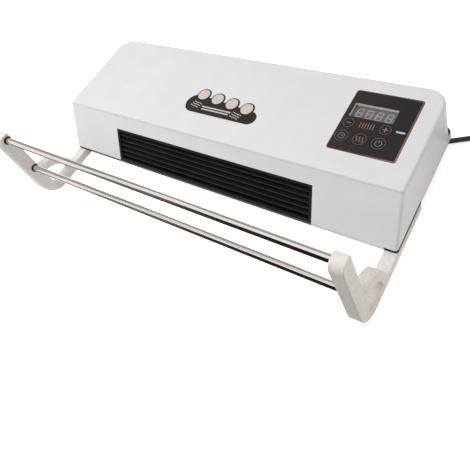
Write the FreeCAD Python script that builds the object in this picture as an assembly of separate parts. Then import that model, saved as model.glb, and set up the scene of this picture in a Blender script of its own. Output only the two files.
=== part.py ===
"""Wall fan heater with a towel rack: a slanted outlet below a flat front, laid on its back.

+X runs along the heater to its right, +Y is up when it hangs, +Z points away from the wall.
The origin is midway between the two hanging holes, on the wall plane. Millimetres.
"""
import FreeCAD, Part
import math
import os

V = FreeCAD.Vector
os.makedirs("parts", exist_ok=True)

# Overall body
body_length = 500.0          # along X
front_low_y = -105.0         # lower edge of the front face, below the hanging holes
face_height = 136.5          # front face, from its lower edge to the top side
slant_run = 34.6             # how far the outlet face runs down from the front face to its rear edge
arm_thickness = 11.0         # bracket arm between the rear cover and the wall
cover_depth = 5.0            # visible edge of the rear cover
shell_depth = 59.0           # front shell, from its rear edge to the front face
shell_wall = 2.2
top_corner_r = 24.0          # upper corners of the shell, seen from the front
edge_r = 3.5                 # soft edges of the shell
seat_gap = 0.3               # clearance between moulded pieces that slip together

# Rear cover
cover_plate = 2.5
cover_corner_r = 14.0
spigot_wall = 1.8
spigot_height = 8.0
hang_spacing = 300.0         # between the two hanging holes
hang_head_r = 4.75           # round part of the keyhole
hang_slot_w = 4.8
hang_slot_rise = 9.0
hang_pad_w = 26.0
hang_pad_h = 34.0
hang_pad_wall = 2.6
hang_pad_r = 4.0             # corners of the hanging pads
intake_rows = 2
intake_margin = 12.0         # from the fan's ends to the intake field
intake_pitch = 12.0
intake_slot_w = 5.0
intake_slot_h = 27.0
intake_row_gap = 6.0
intake_centre_up = 52.0      # middle of the intake field above the front face's lower edge

# Outlet grille
outlet_left_margin = 94.0    # from the housing's left end to the outlet
outlet_right_margin = 99.5
outlet_start = 21.2          # down the slanted face, from its upper edge
grille_bar = 3.4
grille_depth = 9.0
grille_lip = 3.0             # rim behind the shell's wall
grille_lip_t = 1.4
grille_lip_up = 8.0          # lower end of the rim above the frame's lower edge
grille_sink = 0.4            # front of the grille frame behind the outlet face
slat_count = 5
slat_thickness = 1.5
slat_tilt = 24.0
slat_sink = 0.6              # front of the slats behind the frame
slat_back = 2.0              # the slats are this much shallower than the frame
grille_rib_count = 3
grille_rib = 1.6
grille_rib_depth = 4.0

# Control panel
panel_inset = 60.0           # centre of the panel from the housing's right end
panel_up = 72.6              # centre above the front face's lower edge
panel_w = 78.0
panel_h = 86.6
panel_corner_r = 3.0
overlay_thickness = 0.5
panel_pad = 3.0              # shell thickness under the panel
panel_pad_margin = 3.0
key_r = 8.2
small_key_r = 7.0
key_gap = 0.25
key_flange = 0.6             # flange beyond the key's edge
key_flange_t = 0.7
key_proud = 0.25
key_travel = 0.5
key_stem_r = 1.8
key_row_up = 48.7            # lower row of keys above the front face's lower edge
small_key_up = 67.7
key_pitch = 21.2
key_first_dx = -29.2         # first key from the panel's centre
display_dx = -8.0            # display from the panel's centre
display_up = 87.2
display_w = 50.3
display_h = 19.0
display_t = 8.0
display_gap = 0.5
display_sink = 4.6           # face of the display below the panel
display_skirt = 1.2          # white wall round the sunk display
indicator_dx = 29.5          # indicator from the panel's centre
indicator_up = 68.5
indicator_w = 10.0
indicator_h = 2.2
board_t = 1.6
board_margin = 5.0
switch_w = 6.0
switch_h = 3.5
switch_cap_r = 1.6
switch_cap_t = 1.0
switch_rest_gap = 0.1        # between a pressed key and its switch
board_post_r = 3.0
board_post_inset = 5.0

# Badge on the front face
badge_t = 0.6
badge_disc_t = 0.6
badge_low_up = 33.2
badge_left_x = -45.0
badge_left_r = 14.0
badge_right_x = 41.0
badge_right_r = 9.8
badge_disc_r = 8.3
badge_rim = 1.7
badge_disc_count = 4
badge_first_x = -40.8
badge_first_up = 62.6
badge_step_x = 24.1
badge_step_up = -2.6

# Brackets and towel rods
bracket_width = 15.0
hook_reach = 127.5           # from the wall to the tip of the hook
hook_width = 17.5
hook_drop = 119.0            # underside of the hook below the front face's lower edge
arm_rise = 31.0              # upper end of the arm above the front face's lower edge
bend_r = 28.0
hook_tip_r = 9.0
hook_back_r = 3.0
arm_end_r = 3.0
arch_r = 41.0
arch_band = 11.0
bracket_edge_r = 1.2
rod_d = 8.4
rod_inset = 6.2              # rod axis from the hook's inner side
outer_rod_inset = 8.9        # outer rod's axis from the hook's tip
rod_spacing = 59.5
rod_fit = 0.05
rod_insert = 10.0
bush_r = 4.9
bush_collar_r = 5.6
bush_collar_t = 0.8
bracket_screw_low = -12.0    # bracket screws above the front face's lower edge
bracket_screw_high = 19.0

# Fan, motor and duct
fan_up = 44.0                # fan axis above the front face's lower edge
fan_height = 27.0            # fan axis above the shell's rear edge
fan_r = 22.0
fan_blades = 24
fan_blade_depth = 5.0
fan_rings = 3
fan_disc_t = 1.6
fan_end_gap = 4.0
fan_hub_r = 6.0
fan_hub_length = 9.0
fan_hub_floor = 2.0          # closed end of the hub's bore
fan_tip_inset = 0.3          # blade tips inside the end discs
blade_lean = 8.0             # degrees, tip ahead of root
blade_spread = 2.5           # degrees, thickness of a blade
shaft_r = 2.5
shaft_fit = 0.05
duct_wall = 1.6
duct_plate = 2.5
duct_side_gap = 1.0
volute_gap_start = 2.4
volute_gap_end = 4.4
tongue_gap = 3.0
duct_floor_gap = 4.0
duct_back_gap = 3.0          # end plates behind the grille
duct_foot = 12.0             # width of a foot
duct_foot_above = 10.0       # foot screws beyond the fan
duct_foot_below = 16.0
volute_start = -25.0         # degrees round the fan axis, from +Y towards +Z
volute_end = 102.0
tongue_at = 215.0
tongue_run = 9.0
motor_r = 18.0
motor_length = 30.0
motor_plate = 2.0
motor_foot = 14.0
motor_end = 6.0              # closed end of the motor beyond its shaft
motor_edge_r = 2.0
shaft_room = 3.0             # round the shaft and hub where they pass a plate
bush_outer_r = 7.0
bush_flange_r = 9.0
bush_length = 6.0
bush_flange_t = 1.5

# Heater pack, tilted with the outlet face
pack_centre_down = 35.2      # down the outlet face
pack_depth = 17.4            # middle of the pack behind the outlet face
pack_height = 26.0
pack_thick = 12.0
heater_bar = 5.0
fin_pitch = 6.0
fin_sheet = 1.2
fin_rows = 3                 # with a bar between each two rows
fin_end_gap = 1.0
bar_inset = 1.0              # bars narrower than the fins, each side
cap_length = 8.0
cap_rim = 1.5
cutout_r = 7.0
cutout_t = 5.0
cutout_base_t = 1.2

# Power board
power_inset = 53.0           # centre of the power board from the housing's right end
power_up = 62.0
power_w = 62.0
power_h = 66.0
power_lift = 9.0
power_post_inset = 4.0
power_edge = 9.0             # from the board's edge to its relays and terminals
relay_size = (19.0, 15.0, 15.0)
relay_gap = 4.0
terminal_size = (30.0, 12.0, 13.0)
terminal_ways = 3
terminal_entry_r = 2.2
terminal_screw_r = 2.4
terminal_screw_depth = 3.0

# Screws
screw_r = 1.5
screw_head_r = 3.0
screw_head_t = 2.0
screw_bite = 7.0
boss_r = 4.0
side_boss_inset = 13.0
side_boss_up = 46.0          # lower side bosses above the front face's lower edge
side_boss_down = 28.5        # upper side bosses below the top side
top_boss_spacing = 160.0     # between the two bosses along the top side
top_boss_inset = 10.0
bracket_screw_r = 1.9
bracket_screw_head_r = 3.6
bracket_screw_hole_r = 2.2
bracket_screw_sink = 5.0

# Mains lead
cord_d = 6.0
gland_root_r = 4.2
gland_tip_r = 3.6
gland_length = 28.0
groove_count = 3
groove_w = 2.0
groove_first = 10.0          # first groove beyond the hood
groove_pitch = 5.6
groove_wall = 0.35           # left round the lead under a groove
cord_heading = 27.5          # direction of the lead, from +X towards +Y
cord_lift = 5.0              # axis of the lead where it leaves the gland
gland_inset = 38.0           # root of the gland from the housing's right end
gland_y = 0.0
hood_length = 12.0
hood_width = 16.0
lead_route = [                # beyond the housing's right end, then y and z
    (2.8, 21.2, 5.0),
    (30.0, 35.8, 3.9),
    (56.0, 49.0, 3.9),
]
coil_pitch = 6.6
coil_layer = 6.5
coil_inner_r = 26.6
coil_turns = 6.0 + 27.0 / 360.0
tie_t = 0.7
tie_w = 8.0
tie_angle = -35.0            # place of the tie round the coil, from +X
coil_tail = 24.5             # straight end of the coil before the plug
plug_relief = 20.0
relief_wall_cord = 0.6       # of the plug's relief, at the lead
relief_wall_plug = 3.0
plug_length = 30.0
plug_width = 15.0
plug_corner_r = 4.0
blade_spacing = 12.7
blade_length = 17.5
blade_height = 6.3
blade_t = 1.5

# Planes that follow from the driving sizes
half_length = body_length / 2.0
cover_z = arm_thickness
plate_z = cover_z + cover_plate
shell_z = cover_z + cover_depth
face_z = shell_z + shell_depth
top_y = front_low_y + face_height
rear_low_y = front_low_y - slant_run
slant = math.atan2(slant_run, shell_depth)
slant_length = math.hypot(slant_run, shell_depth)
board_top = face_z - display_sink - display_t
fan_y = front_low_y + fan_up
fan_z = shell_z + fan_height
panel_x = half_length - panel_inset
key_first_x = panel_x + key_first_dx
display_x = panel_x + display_dx
indicator_x = panel_x + indicator_dx
power_x = half_length - power_inset
outlet_left = -half_length + outlet_left_margin
outlet_right = half_length - outlet_right_margin
duct_left = outlet_left + duct_side_gap
duct_right = outlet_right - duct_side_gap
fan_left = duct_left + duct_plate + fan_end_gap
fan_right = duct_right - duct_plate - fan_end_gap
intake_columns = int((fan_right - fan_left - 2.0 * intake_margin) / intake_pitch)
bracket_inner_x = half_length - bracket_width
hook_low_y = front_low_y - hook_drop
hook_high_y = hook_low_y + hook_width
rod_y = hook_high_y - rod_inset
outer_rod_z = hook_reach - outer_rod_inset
inner_rod_z = outer_rod_z - rod_spacing
rod_r = rod_d / 2.0
cord_r = cord_d / 2.0


def box(x0, x1, y0, y1, z0, z1):
    """A box between two corners."""
    return Part.makeBox(x1 - x0, y1 - y0, z1 - z0, V(x0, y0, z0))


def rod_z(x, y, z0, z1, r):
    """A round bar along Z."""
    return Part.makeCylinder(r, z1 - z0, V(x, y, z0), V(0, 0, 1))


def rod_x(x0, x1, y, z, r):
    """A round bar along X."""
    return Part.makeCylinder(r, x1 - x0, V(x0, y, z), V(1, 0, 0))


def join(shapes):
    """One solid from pieces that overlap or share faces."""
    return shapes[0].multiFuse(shapes[1:]).removeSplitter()


def edges_where(shape, test):
    """Edges whose middle point passes the test."""
    found = []
    for edge in shape.Edges:
        middle = edge.valueAt((edge.FirstParameter + edge.LastParameter) / 2.0)
        if test(middle, edge):
            found.append(edge)
    return found


def plate(x0, x1, y0, y1, z0, z1, low_r, high_r):
    """A flat plate whose lower and upper corners, seen from the front, have their own radii."""
    solid = box(x0, x1, y0, y1, z0, z1)

    def upright(middle, edge, y):
        return abs(middle.z - (z0 + z1) / 2.0) < 1e-6 and abs(middle.y - y) < 1e-6

    if low_r:
        solid = solid.makeFillet(low_r, edges_where(solid, lambda m, e: upright(m, e, y0)
                                                    and abs(e.Length - (z1 - z0)) < 1e-6))
    if high_r:
        solid = solid.makeFillet(high_r, edges_where(solid, lambda m, e: upright(m, e, y1)
                                                     and abs(e.Length - (z1 - z0)) < 1e-6))
    return solid


def obround(x, y0, y1, z0, z1, width):
    """An upright slot cutter with round ends."""
    r = width / 2.0
    return join([box(x - r, x + r, y0 + r, y1 - r, z0, z1),
                 rod_z(x, y0 + r, z0, z1, r), rod_z(x, y1 - r, z0, z1, r)])


def profile_x(points, x0, x1):
    """A straight-sided section in (y, z), drawn out along X."""
    wire = Part.makePolygon([V(x0, y, z) for y, z in points + points[:1]])
    return Part.Face(wire).extrude(V(x1 - x0, 0, 0))


def screw(x, y, z_seat, bite, r, head_r, head_t, up):
    """A pan-head screw: head on z_seat, shank towards +Z when up, else towards -Z."""
    way = 1.0 if up else -1.0
    head = Part.makeCylinder(head_r, head_t, V(x, y, z_seat), V(0, 0, -way))
    top = z_seat - way * head_t
    crown = edges_where(head, lambda m, e: abs(m.z - top) < 1e-6 and e.Length > head_r)
    head = head.makeFillet(head_t * 0.45, crown)
    shank = Part.makeCylinder(r, bite, V(x, y, z_seat), V(0, 0, way))
    return head.fuse(shank).removeSplitter()


def on_slope(shape):
    """Places a piece drawn flat on the outlet face: x along the heater, y up the face, z out of it."""
    turn = FreeCAD.Rotation(V(1, 0, 0), math.degrees(math.pi / 2.0 - slant))
    moved = shape.copy()
    moved.Placement = FreeCAD.Placement(V(0, front_low_y, face_z), turn).multiply(shape.Placement)
    return moved


def outlet_y(z, inset):
    """Y of the outlet face at height z, moved into the body by the inset."""
    return front_low_y - (face_z - z) * math.tan(slant) + inset / math.cos(slant)


def body_block(inset, z_low):
    """The shell's outer form, or its hollow when the inset is the wall."""
    z_high = face_z - inset
    section = [(outlet_y(z_low, inset), z_low), (outlet_y(z_high, inset), z_high),
               (top_y - inset, z_high), (top_y - inset, z_low)]
    x = half_length - inset
    solid = profile_x(section, -x, x)
    corner = edges_where(solid, lambda m, e: abs(m.y - (top_y - inset)) < 1e-6 and abs(abs(m.x) - x) < 1e-6)
    return solid.makeFillet(top_corner_r - inset, corner)


key_places = {
    "timer": (key_first_x, front_low_y + key_row_up, key_r),
    "mode": (key_first_x + key_pitch, front_low_y + key_row_up, key_r),
    "power": (key_first_x + 2.0 * key_pitch, front_low_y + key_row_up, key_r),
    "minus": (key_first_x, front_low_y + small_key_up, small_key_r),
    "plus": (key_first_x + 2.0 * key_pitch, front_low_y + small_key_up, small_key_r),
}
panel_left = panel_x - panel_w / 2.0
panel_right = panel_x + panel_w / 2.0
panel_low = front_low_y + panel_up - panel_h / 2.0
panel_high = front_low_y + panel_up + panel_h / 2.0
board_posts = [(x, y)
               for x in (panel_left + board_post_inset, panel_right - board_post_inset)
               for y in (panel_low + board_post_inset, panel_high - board_post_inset)]
cover_bosses = [(side * (half_length - side_boss_inset), y)
                for side in (-1.0, 1.0) for y in (front_low_y + side_boss_up, top_y - side_boss_down)]
cover_bosses += [(side * top_boss_spacing / 2.0, top_y - top_boss_inset) for side in (-1.0, 1.0)]
bracket_x = half_length - bracket_width / 2.0
bracket_screws = [(side * bracket_x, front_low_y + up)
                  for side in (-1.0, 1.0) for up in (bracket_screw_low, bracket_screw_high)]
power_posts = [(power_x + sx * (power_w / 2.0 - power_post_inset),
                front_low_y + power_up + sy * (power_h / 2.0 - power_post_inset))
               for sx in (-1.0, 1.0) for sy in (-1.0, 1.0)]
power_z = plate_z + power_lift


def display_opening(z0, z1, gap):
    """The block that the display's window takes out of a wall."""
    return box(display_x - display_w / 2.0 - gap, display_x + display_w / 2.0 + gap,
               front_low_y + display_up - display_h / 2.0 - gap,
               front_low_y + display_up + display_h / 2.0 + gap, z0, z1)


def indicator_bar(z0, z1, gap):
    """The indicator's light pipe, or with a gap the slot it stands in."""
    r = indicator_h / 2.0 + gap
    y = front_low_y + indicator_up
    x0 = indicator_x - indicator_w / 2.0 + indicator_h / 2.0
    x1 = indicator_x + indicator_w / 2.0 - indicator_h / 2.0
    return join([box(x0, x1, y - r, y + r, z0, z1), rod_z(x0, y, z0, z1, r), rod_z(x1, y, z0, z1, r)])


def outlet_notch():
    """The opening for the grille, from the outlet face's upper part through its rear edge."""
    cut = box(outlet_left, outlet_right, -slant_length - 10.0, -outlet_start, -shell_wall - 6.0, 5.0)
    return on_slope(cut)


def front_shell():
    """White moulded front: flat face, slanted outlet face, soft edges, panel recess and bosses."""
    outer = body_block(0.0, shell_z)
    soft = edges_where(outer, lambda m, e: m.z > shell_z + 1.0 and not (
        abs(m.z - (shell_z + face_z) / 2.0) < 1e-6 and m.y > top_y - top_corner_r - 1.0))
    outer = outer.makeFillet(edge_r, soft)
    shell = outer.cut(body_block(shell_wall, shell_z - 1.0))
    margin = panel_pad_margin
    pad = box(panel_left - margin, panel_right + margin, panel_low - margin, panel_high + margin,
              face_z - panel_pad, face_z - shell_wall / 2.0)
    posts = [rod_z(x, y, board_top, face_z - panel_pad / 2.0, board_post_r) for x, y in board_posts]
    bosses = [rod_z(x, y, plate_z, face_z - shell_wall / 2.0, boss_r) for x, y in cover_bosses]
    skirt = display_opening(face_z - display_sink, face_z - panel_pad / 2.0, display_gap + display_skirt)
    shell = join([shell, pad, skirt] + posts + bosses)
    recess = plate(panel_left - seat_gap, panel_right + seat_gap, panel_low - seat_gap, panel_high + seat_gap,
                   face_z - overlay_thickness, face_z + 1.0, panel_corner_r, panel_corner_r)
    cuts = [recess, outlet_notch()]
    below = face_z - panel_pad - 1.0
    cuts.append(display_opening(below - display_sink, face_z, display_gap))
    cuts.append(indicator_bar(below, face_z, seat_gap / 2.0))
    for x, y, r in key_places.values():
        cuts.append(rod_z(x, y, below, face_z, r + key_flange + seat_gap))
    for x, y in board_posts:
        cuts.append(rod_z(x, y, board_top - 1.0, board_top + screw_bite, screw_r))
    for x, y in cover_bosses:
        cuts.append(rod_z(x, y, plate_z - 1.0, plate_z + screw_bite + screw_head_t, screw_r))
    return shell.cut(cuts)


def keyhole(x):
    """Hanging hole: a round way in for the screw head, and a narrow slot above it."""
    slot = join([box(x - hang_slot_w / 2.0, x + hang_slot_w / 2.0, 0.0, hang_slot_rise, -1.0, plate_z + 1.0),
                 rod_z(x, hang_slot_rise, -1.0, plate_z + 1.0, hang_slot_w / 2.0)])
    return slot.fuse(rod_z(x, 0.0, -1.0, plate_z + 1.0, hang_head_r)).removeSplitter()


def hang_pad(x):
    """Hollow pad that holds the heater's upper half off the wall, with the keyhole in its floor."""
    low = -hang_pad_h / 2.0 + hang_slot_rise / 2.0
    pad = plate(x - hang_pad_w / 2.0, x + hang_pad_w / 2.0, low, low + hang_pad_h,
                0.0, cover_z, hang_pad_r, hang_pad_r)
    hollow = plate(x - hang_pad_w / 2.0 + hang_pad_wall, x + hang_pad_w / 2.0 - hang_pad_wall,
                   low + hang_pad_wall, low + hang_pad_h - hang_pad_wall,
                   hang_pad_wall, plate_z + 1.0, hang_pad_r - hang_pad_wall, hang_pad_r - hang_pad_wall)
    return pad, hollow


heading = V(math.cos(math.radians(cord_heading)), math.sin(math.radians(cord_heading)), 0.0)
gland_start = V(half_length - gland_inset, gland_y, cord_lift)


def cable_hood():
    """Block under the rear cover that holds the gland."""
    corner = V(-hood_length, -hood_width / 2.0, seat_gap)
    block = Part.makeBox(hood_length, hood_width, cover_z - seat_gap, corner)
    block.Placement = FreeCAD.Placement(V(gland_start.x, gland_start.y, 0.0),
                                        FreeCAD.Rotation(V(0, 0, 1), cord_heading))
    return block


def rear_cover():
    """Black rear cover: plate with a raised rim, intake slots, hanging pads and inner bosses."""
    x = half_length
    tray = plate(-x, x, rear_low_y, top_y, cover_z, shell_z, edge_r, cover_corner_r)
    tray = tray.cut(plate(-x + shell_wall, x - shell_wall, rear_low_y + shell_wall, top_y - shell_wall,
                          plate_z, shell_z + 1.0, edge_r, top_corner_r - shell_wall))
    step = shell_wall + seat_gap
    spigot_low = outlet_y(plate_z + spigot_height, shell_wall) + 1.0
    spigot = plate(-x + step, x - step, spigot_low, top_y - step, plate_z, plate_z + spigot_height,
                   0.0, top_corner_r - step)
    inner = step + spigot_wall
    spigot = spigot.cut(plate(-x + inner, x - inner, spigot_low - 1.0, top_y - inner, plate_z,
                              plate_z + spigot_height + 1.0, 0.0, top_corner_r - inner))
    pieces = [tray, spigot, cable_hood()]
    hollows = []
    for side in (-1.0, 1.0):
        pad, hollow = hang_pad(side * hang_spacing / 2.0)
        pieces.append(pad)
        hollows.append(hollow)
        hollows.append(keyhole(side * hang_spacing / 2.0))
    seat = screw_bite + 1.0
    pieces += [rod_z(sx, sy, plate_z, plate_z + seat, boss_r) for sx, sy in bracket_screws]
    pieces += [rod_z(px, py, plate_z, power_z, board_post_r) for px, py in power_posts]
    cover = join(pieces)
    cuts = list(hollows)
    field_y = front_low_y + intake_centre_up
    field_x = (fan_left + fan_right) / 2.0
    for row in range(intake_rows):
        row_y = field_y + (row - (intake_rows - 1) / 2.0) * (intake_slot_h + intake_row_gap)
        for column in range(intake_columns):
            slot_x = field_x + (column - (intake_columns - 1) / 2.0) * intake_pitch
            cuts.append(obround(slot_x, row_y - intake_slot_h / 2.0, row_y + intake_slot_h / 2.0,
                                cover_z - 1.0, plate_z + 1.0, intake_slot_w))
    for sx, sy in cover_bosses:
        cuts.append(rod_z(sx, sy, cover_z - 1.0, plate_z + 1.0, screw_r + seat_gap))
    for sx, sy in bracket_screws:
        cuts.append(rod_z(sx, sy, cover_z - 1.0, plate_z + seat + 1.0, bracket_screw_r))
    for px, py in power_posts:
        cuts.append(rod_z(px, py, plate_z + 0.5, power_z + 1.0, screw_r))
    for px, py in duct_feet():
        cuts.append(rod_z(px, py, cover_z - 1.0, plate_z + 1.0, screw_r))
    for px, py in motor_feet():
        cuts.append(rod_z(px, py, cover_z - 1.0, plate_z + 1.0, screw_r))
    cuts.append(Part.makeCylinder(gland_root_r, hood_length * 2.0, gland_start - heading * hood_length * 1.5,
                                  heading))
    return cover.cut(cuts)


def outlet_grille():
    """Black outlet grille: frame flush with the outlet face, tilted slats and upright ribs behind."""
    left = outlet_left + seat_gap
    right = outlet_right - seat_gap
    high = -outlet_start - seat_gap
    low = -slant_length + 0.2
    front = -grille_sink
    back = front - grille_depth
    frame = box(left, right, low, high, back, front)
    frame = frame.cut(box(left + grille_bar, right - grille_bar, low + grille_bar, high - grille_bar,
                          back - 1.0, front + 1.0))
    lip_front = -shell_wall - 0.02
    lip = box(left - grille_lip, right + grille_lip, low + grille_lip_up, high + grille_lip,
              lip_front - grille_lip_t, lip_front)
    lip = lip.cut(box(left + grille_bar, right - grille_bar, low, high - grille_bar,
                      back - 1.0, front + 1.0))
    pitch = (high - low - grille_bar) / (slat_count + 1.0)
    slat_depth = grille_depth - slat_back
    pieces = [frame, lip]
    for index in range(slat_count):
        slat = box(left + 1.0, right - 1.0, -slat_thickness / 2.0, slat_thickness / 2.0, -slat_depth, 0.0)
        place = V(0, low + grille_bar / 2.0 + (index + 1) * pitch, front - slat_sink)
        slat.Placement = FreeCAD.Placement(place, FreeCAD.Rotation(V(1, 0, 0), slat_tilt))
        pieces.append(slat)
    for index in range(grille_rib_count):
        x = left + (index + 1) * (right - left) / (grille_rib_count + 1.0)
        pieces.append(box(x - grille_rib / 2.0, x + grille_rib / 2.0, low + 1.0, high - 1.0,
                          back, back + grille_rib_depth))
    grille = on_slope(join(pieces))
    under = box(-half_length, half_length, rear_low_y - slant_length, front_low_y,
                shell_z - slant_length, shell_z)
    return grille.cut(under)


def control_overlay():
    """Charcoal panel with holes for the keys, the display and the indicator."""
    top = face_z
    sheet = plate(panel_left, panel_right, panel_low, panel_high, top - overlay_thickness, top,
                  panel_corner_r, panel_corner_r)
    cuts = [display_opening(top - 5.0, top + 1.0, display_gap),
            indicator_bar(top - 5.0, top + 1.0, seat_gap / 2.0)]
    for x, y, r in key_places.values():
        cuts.append(rod_z(x, y, top - 5.0, top + 1.0, r + key_gap))
    return sheet.cut(cuts)


def key(name):
    """A round key: domed cap through the panel, flange under it, stem to its switch."""
    x, y, r = key_places[name]
    under = face_z - overlay_thickness
    cap = rod_z(x, y, under, face_z + key_proud, r)
    cap = cap.makeFillet(key_proud * 0.8, edges_where(cap, lambda m, e: abs(m.z - face_z - key_proud) < 1e-6
                                                      and e.Length > r))
    flange = rod_z(x, y, under - key_flange_t, under, r + key_flange)
    switch_top = board_top + switch_h + switch_cap_t
    stem = rod_z(x, y, switch_top + key_travel + switch_rest_gap, under, key_stem_r)
    return join([cap, flange, stem])


def led_display():
    """Display module standing on the control board, its face below the panel."""
    return display_opening(board_top, board_top + display_t, 0.0)


def indicator_lens():
    """Light pipe from the control board to the panel's face."""
    return indicator_bar(board_top, face_z, 0.0)


def control_board():
    """Board behind the panel."""
    sheet = box(panel_left, panel_right, panel_low, panel_high, board_top - board_t, board_top)
    return sheet.cut([rod_z(x, y, board_top - board_t - 1.0, board_top + 1.0, screw_r)
                      for x, y in board_posts])


def tact_switches():
    """One push switch under each key."""
    switches = []
    for x, y, r in key_places.values():
        half = switch_w / 2.0
        body = box(x - half, x + half, y - half, y + half, board_top, board_top + switch_h)
        cap = rod_z(x, y, board_top, board_top + switch_h + switch_cap_t, switch_cap_r)
        switches.append(body.fuse(cap).removeSplitter())
    return Part.makeCompound(switches)


badge_discs_at = [(badge_first_x + i * badge_step_x, front_low_y + badge_first_up + i * badge_step_up)
                  for i in range(badge_disc_count)]


def badge_plate():
    """Dark badge: two round ends under a sloping upper edge, with a rim round each disc."""
    z1 = face_z + badge_t
    low = front_low_y + badge_low_up
    ends = [(badge_left_x, low + badge_left_r, badge_left_r),
            (badge_right_x, low + badge_right_r, badge_right_r)]
    span = badge_right_x - badge_left_x
    lean = 2.0 * math.atan2(badge_left_r - badge_right_r, span)
    upper = V(math.sin(lean), math.cos(lean), 0.0)
    corners = [V(badge_left_x, low, face_z), V(badge_right_x, low, face_z),
               V(ends[1][0], ends[1][1], face_z) + upper * badge_right_r,
               V(ends[0][0], ends[0][1], face_z) + upper * badge_left_r]
    web = Part.Face(Part.makePolygon(corners + corners[:1])).extrude(V(0, 0, badge_t))
    rounds = [rod_z(x, y, face_z, z1, r) for x, y, r in ends]
    rims = [rod_z(x, y, face_z, z1, badge_disc_r + badge_rim) for x, y in badge_discs_at]
    return join([web] + rounds + rims)


def badge_discs():
    """Pale discs on the badge."""
    z0 = face_z + badge_t
    discs = []
    for x, y in badge_discs_at:
        disc = rod_z(x, y, z0, z0 + badge_disc_t, badge_disc_r)
        discs.append(disc.makeFillet(badge_disc_t * 0.6, edges_where(
            disc, lambda m, e: abs(m.z - z0 - badge_disc_t) < 1e-6 and e.Length > badge_disc_r)))
    return Part.makeCompound(discs)


def arc_face(inner_r, outer_r, y, z):
    """Quarter ring in (y, z), from +Y to +Z about its centre."""
    def at(r, degrees):
        a = math.radians(degrees)
        return V(0, y + r * math.cos(a), z + r * math.sin(a))
    edges = [Part.LineSegment(at(inner_r, 0), at(outer_r, 0)).toShape(),
             Part.Arc(at(outer_r, 0), at(outer_r, 45), at(outer_r, 90)).toShape(),
             Part.LineSegment(at(outer_r, 90), at(inner_r, 90)).toShape(),
             Part.Arc(at(inner_r, 90), at(inner_r, 45), at(inner_r, 0)).toShape()]
    return Part.Face(Part.Wire(edges))


def bracket_blank():
    """Bracket for the right end: arm on the wall, hook standing out, arched brace between them."""
    arm_end = front_low_y + arm_rise
    arm = box(0, bracket_width, hook_low_y, arm_end, 0.0, arm_thickness)
    hook = box(0, bracket_width, hook_low_y, hook_high_y, 0.0, hook_reach)
    arch = arc_face(arch_r - arch_band, arch_r, hook_high_y, arm_thickness).extrude(V(bracket_width, 0, 0))
    stub = 2.0
    arch_feet = [box(0, bracket_width, hook_high_y - stub, hook_high_y,
                     arm_thickness + arch_r - arch_band, arm_thickness + arch_r),
                 box(0, bracket_width, hook_high_y + arch_r - arch_band, hook_high_y + arch_r,
                     arm_thickness - stub, arm_thickness)]
    blank = join([arm, hook, arch] + arch_feet)

    def along_x(y, z):
        return edges_where(blank, lambda m, e: abs(m.y - y) < 1e-6 and abs(m.z - z) < 1e-6)

    for y, z, r in ((hook_low_y, 0.0, bend_r), (hook_low_y, hook_reach, hook_tip_r),
                    (hook_high_y, hook_reach, hook_back_r), (arm_end, arm_thickness, arm_end_r),
                    (arm_end, 0.0, arm_end_r)):
        blank = blank.makeFillet(r, along_x(y, z))
    rim = edges_where(blank, lambda m, e: (abs(m.x) < 1e-6 or abs(m.x - bracket_width) < 1e-6)
                      and m.y < front_low_y + arm_rise + 1.0)
    return blank.makeChamfer(bracket_edge_r * 0.6, rim)


def bracket(side):
    """One end bracket with its rod sockets and screw holes."""
    blank = bracket_blank()
    blank.translate(V(bracket_inner_x, 0, 0))
    cuts = []
    socket = rod_insert + bush_collar_t
    for z in (outer_rod_z, inner_rod_z):
        cuts.append(rod_x(bracket_inner_x - 1.0, bracket_inner_x + socket, rod_y, z, bush_r))
    for x, y in bracket_screws:
        if x > 0:
            cuts.append(rod_z(x, y, -1.0, arm_thickness + 1.0, bracket_screw_hole_r))
            cuts.append(rod_z(x, y, -1.0, bracket_screw_sink, bracket_screw_head_r + seat_gap))
    solid = blank.cut(cuts)
    if side < 0:
        solid = solid.mirror(V(0, 0, 0), V(1, 0, 0))
    return solid


def rod_bushes():
    """Black sleeves in the bracket sockets that hold the rods' ends."""
    bushes = []
    for side in (-1.0, 1.0):
        for z in (outer_rod_z, inner_rod_z):
            sleeve = rod_x(bracket_inner_x, bracket_inner_x + rod_insert + bush_collar_t, rod_y, z,
                           bush_r - rod_fit)
            collar = rod_x(bracket_inner_x - bush_collar_t, bracket_inner_x, rod_y, z, bush_collar_r)
            bush = join([sleeve, collar])
            bush = bush.cut(rod_x(bracket_inner_x - 2.0 * bush_collar_t, bracket_inner_x + rod_insert, rod_y, z,
                                  rod_r + rod_fit))
            bushes.append(bush if side > 0 else bush.mirror(V(0, 0, 0), V(1, 0, 0)))
    return Part.makeCompound(bushes)


def towel_rod(z):
    """Steel rod between the brackets."""
    reach = bracket_inner_x + rod_insert
    return rod_x(-reach, reach, rod_y, z, rod_r)


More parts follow.
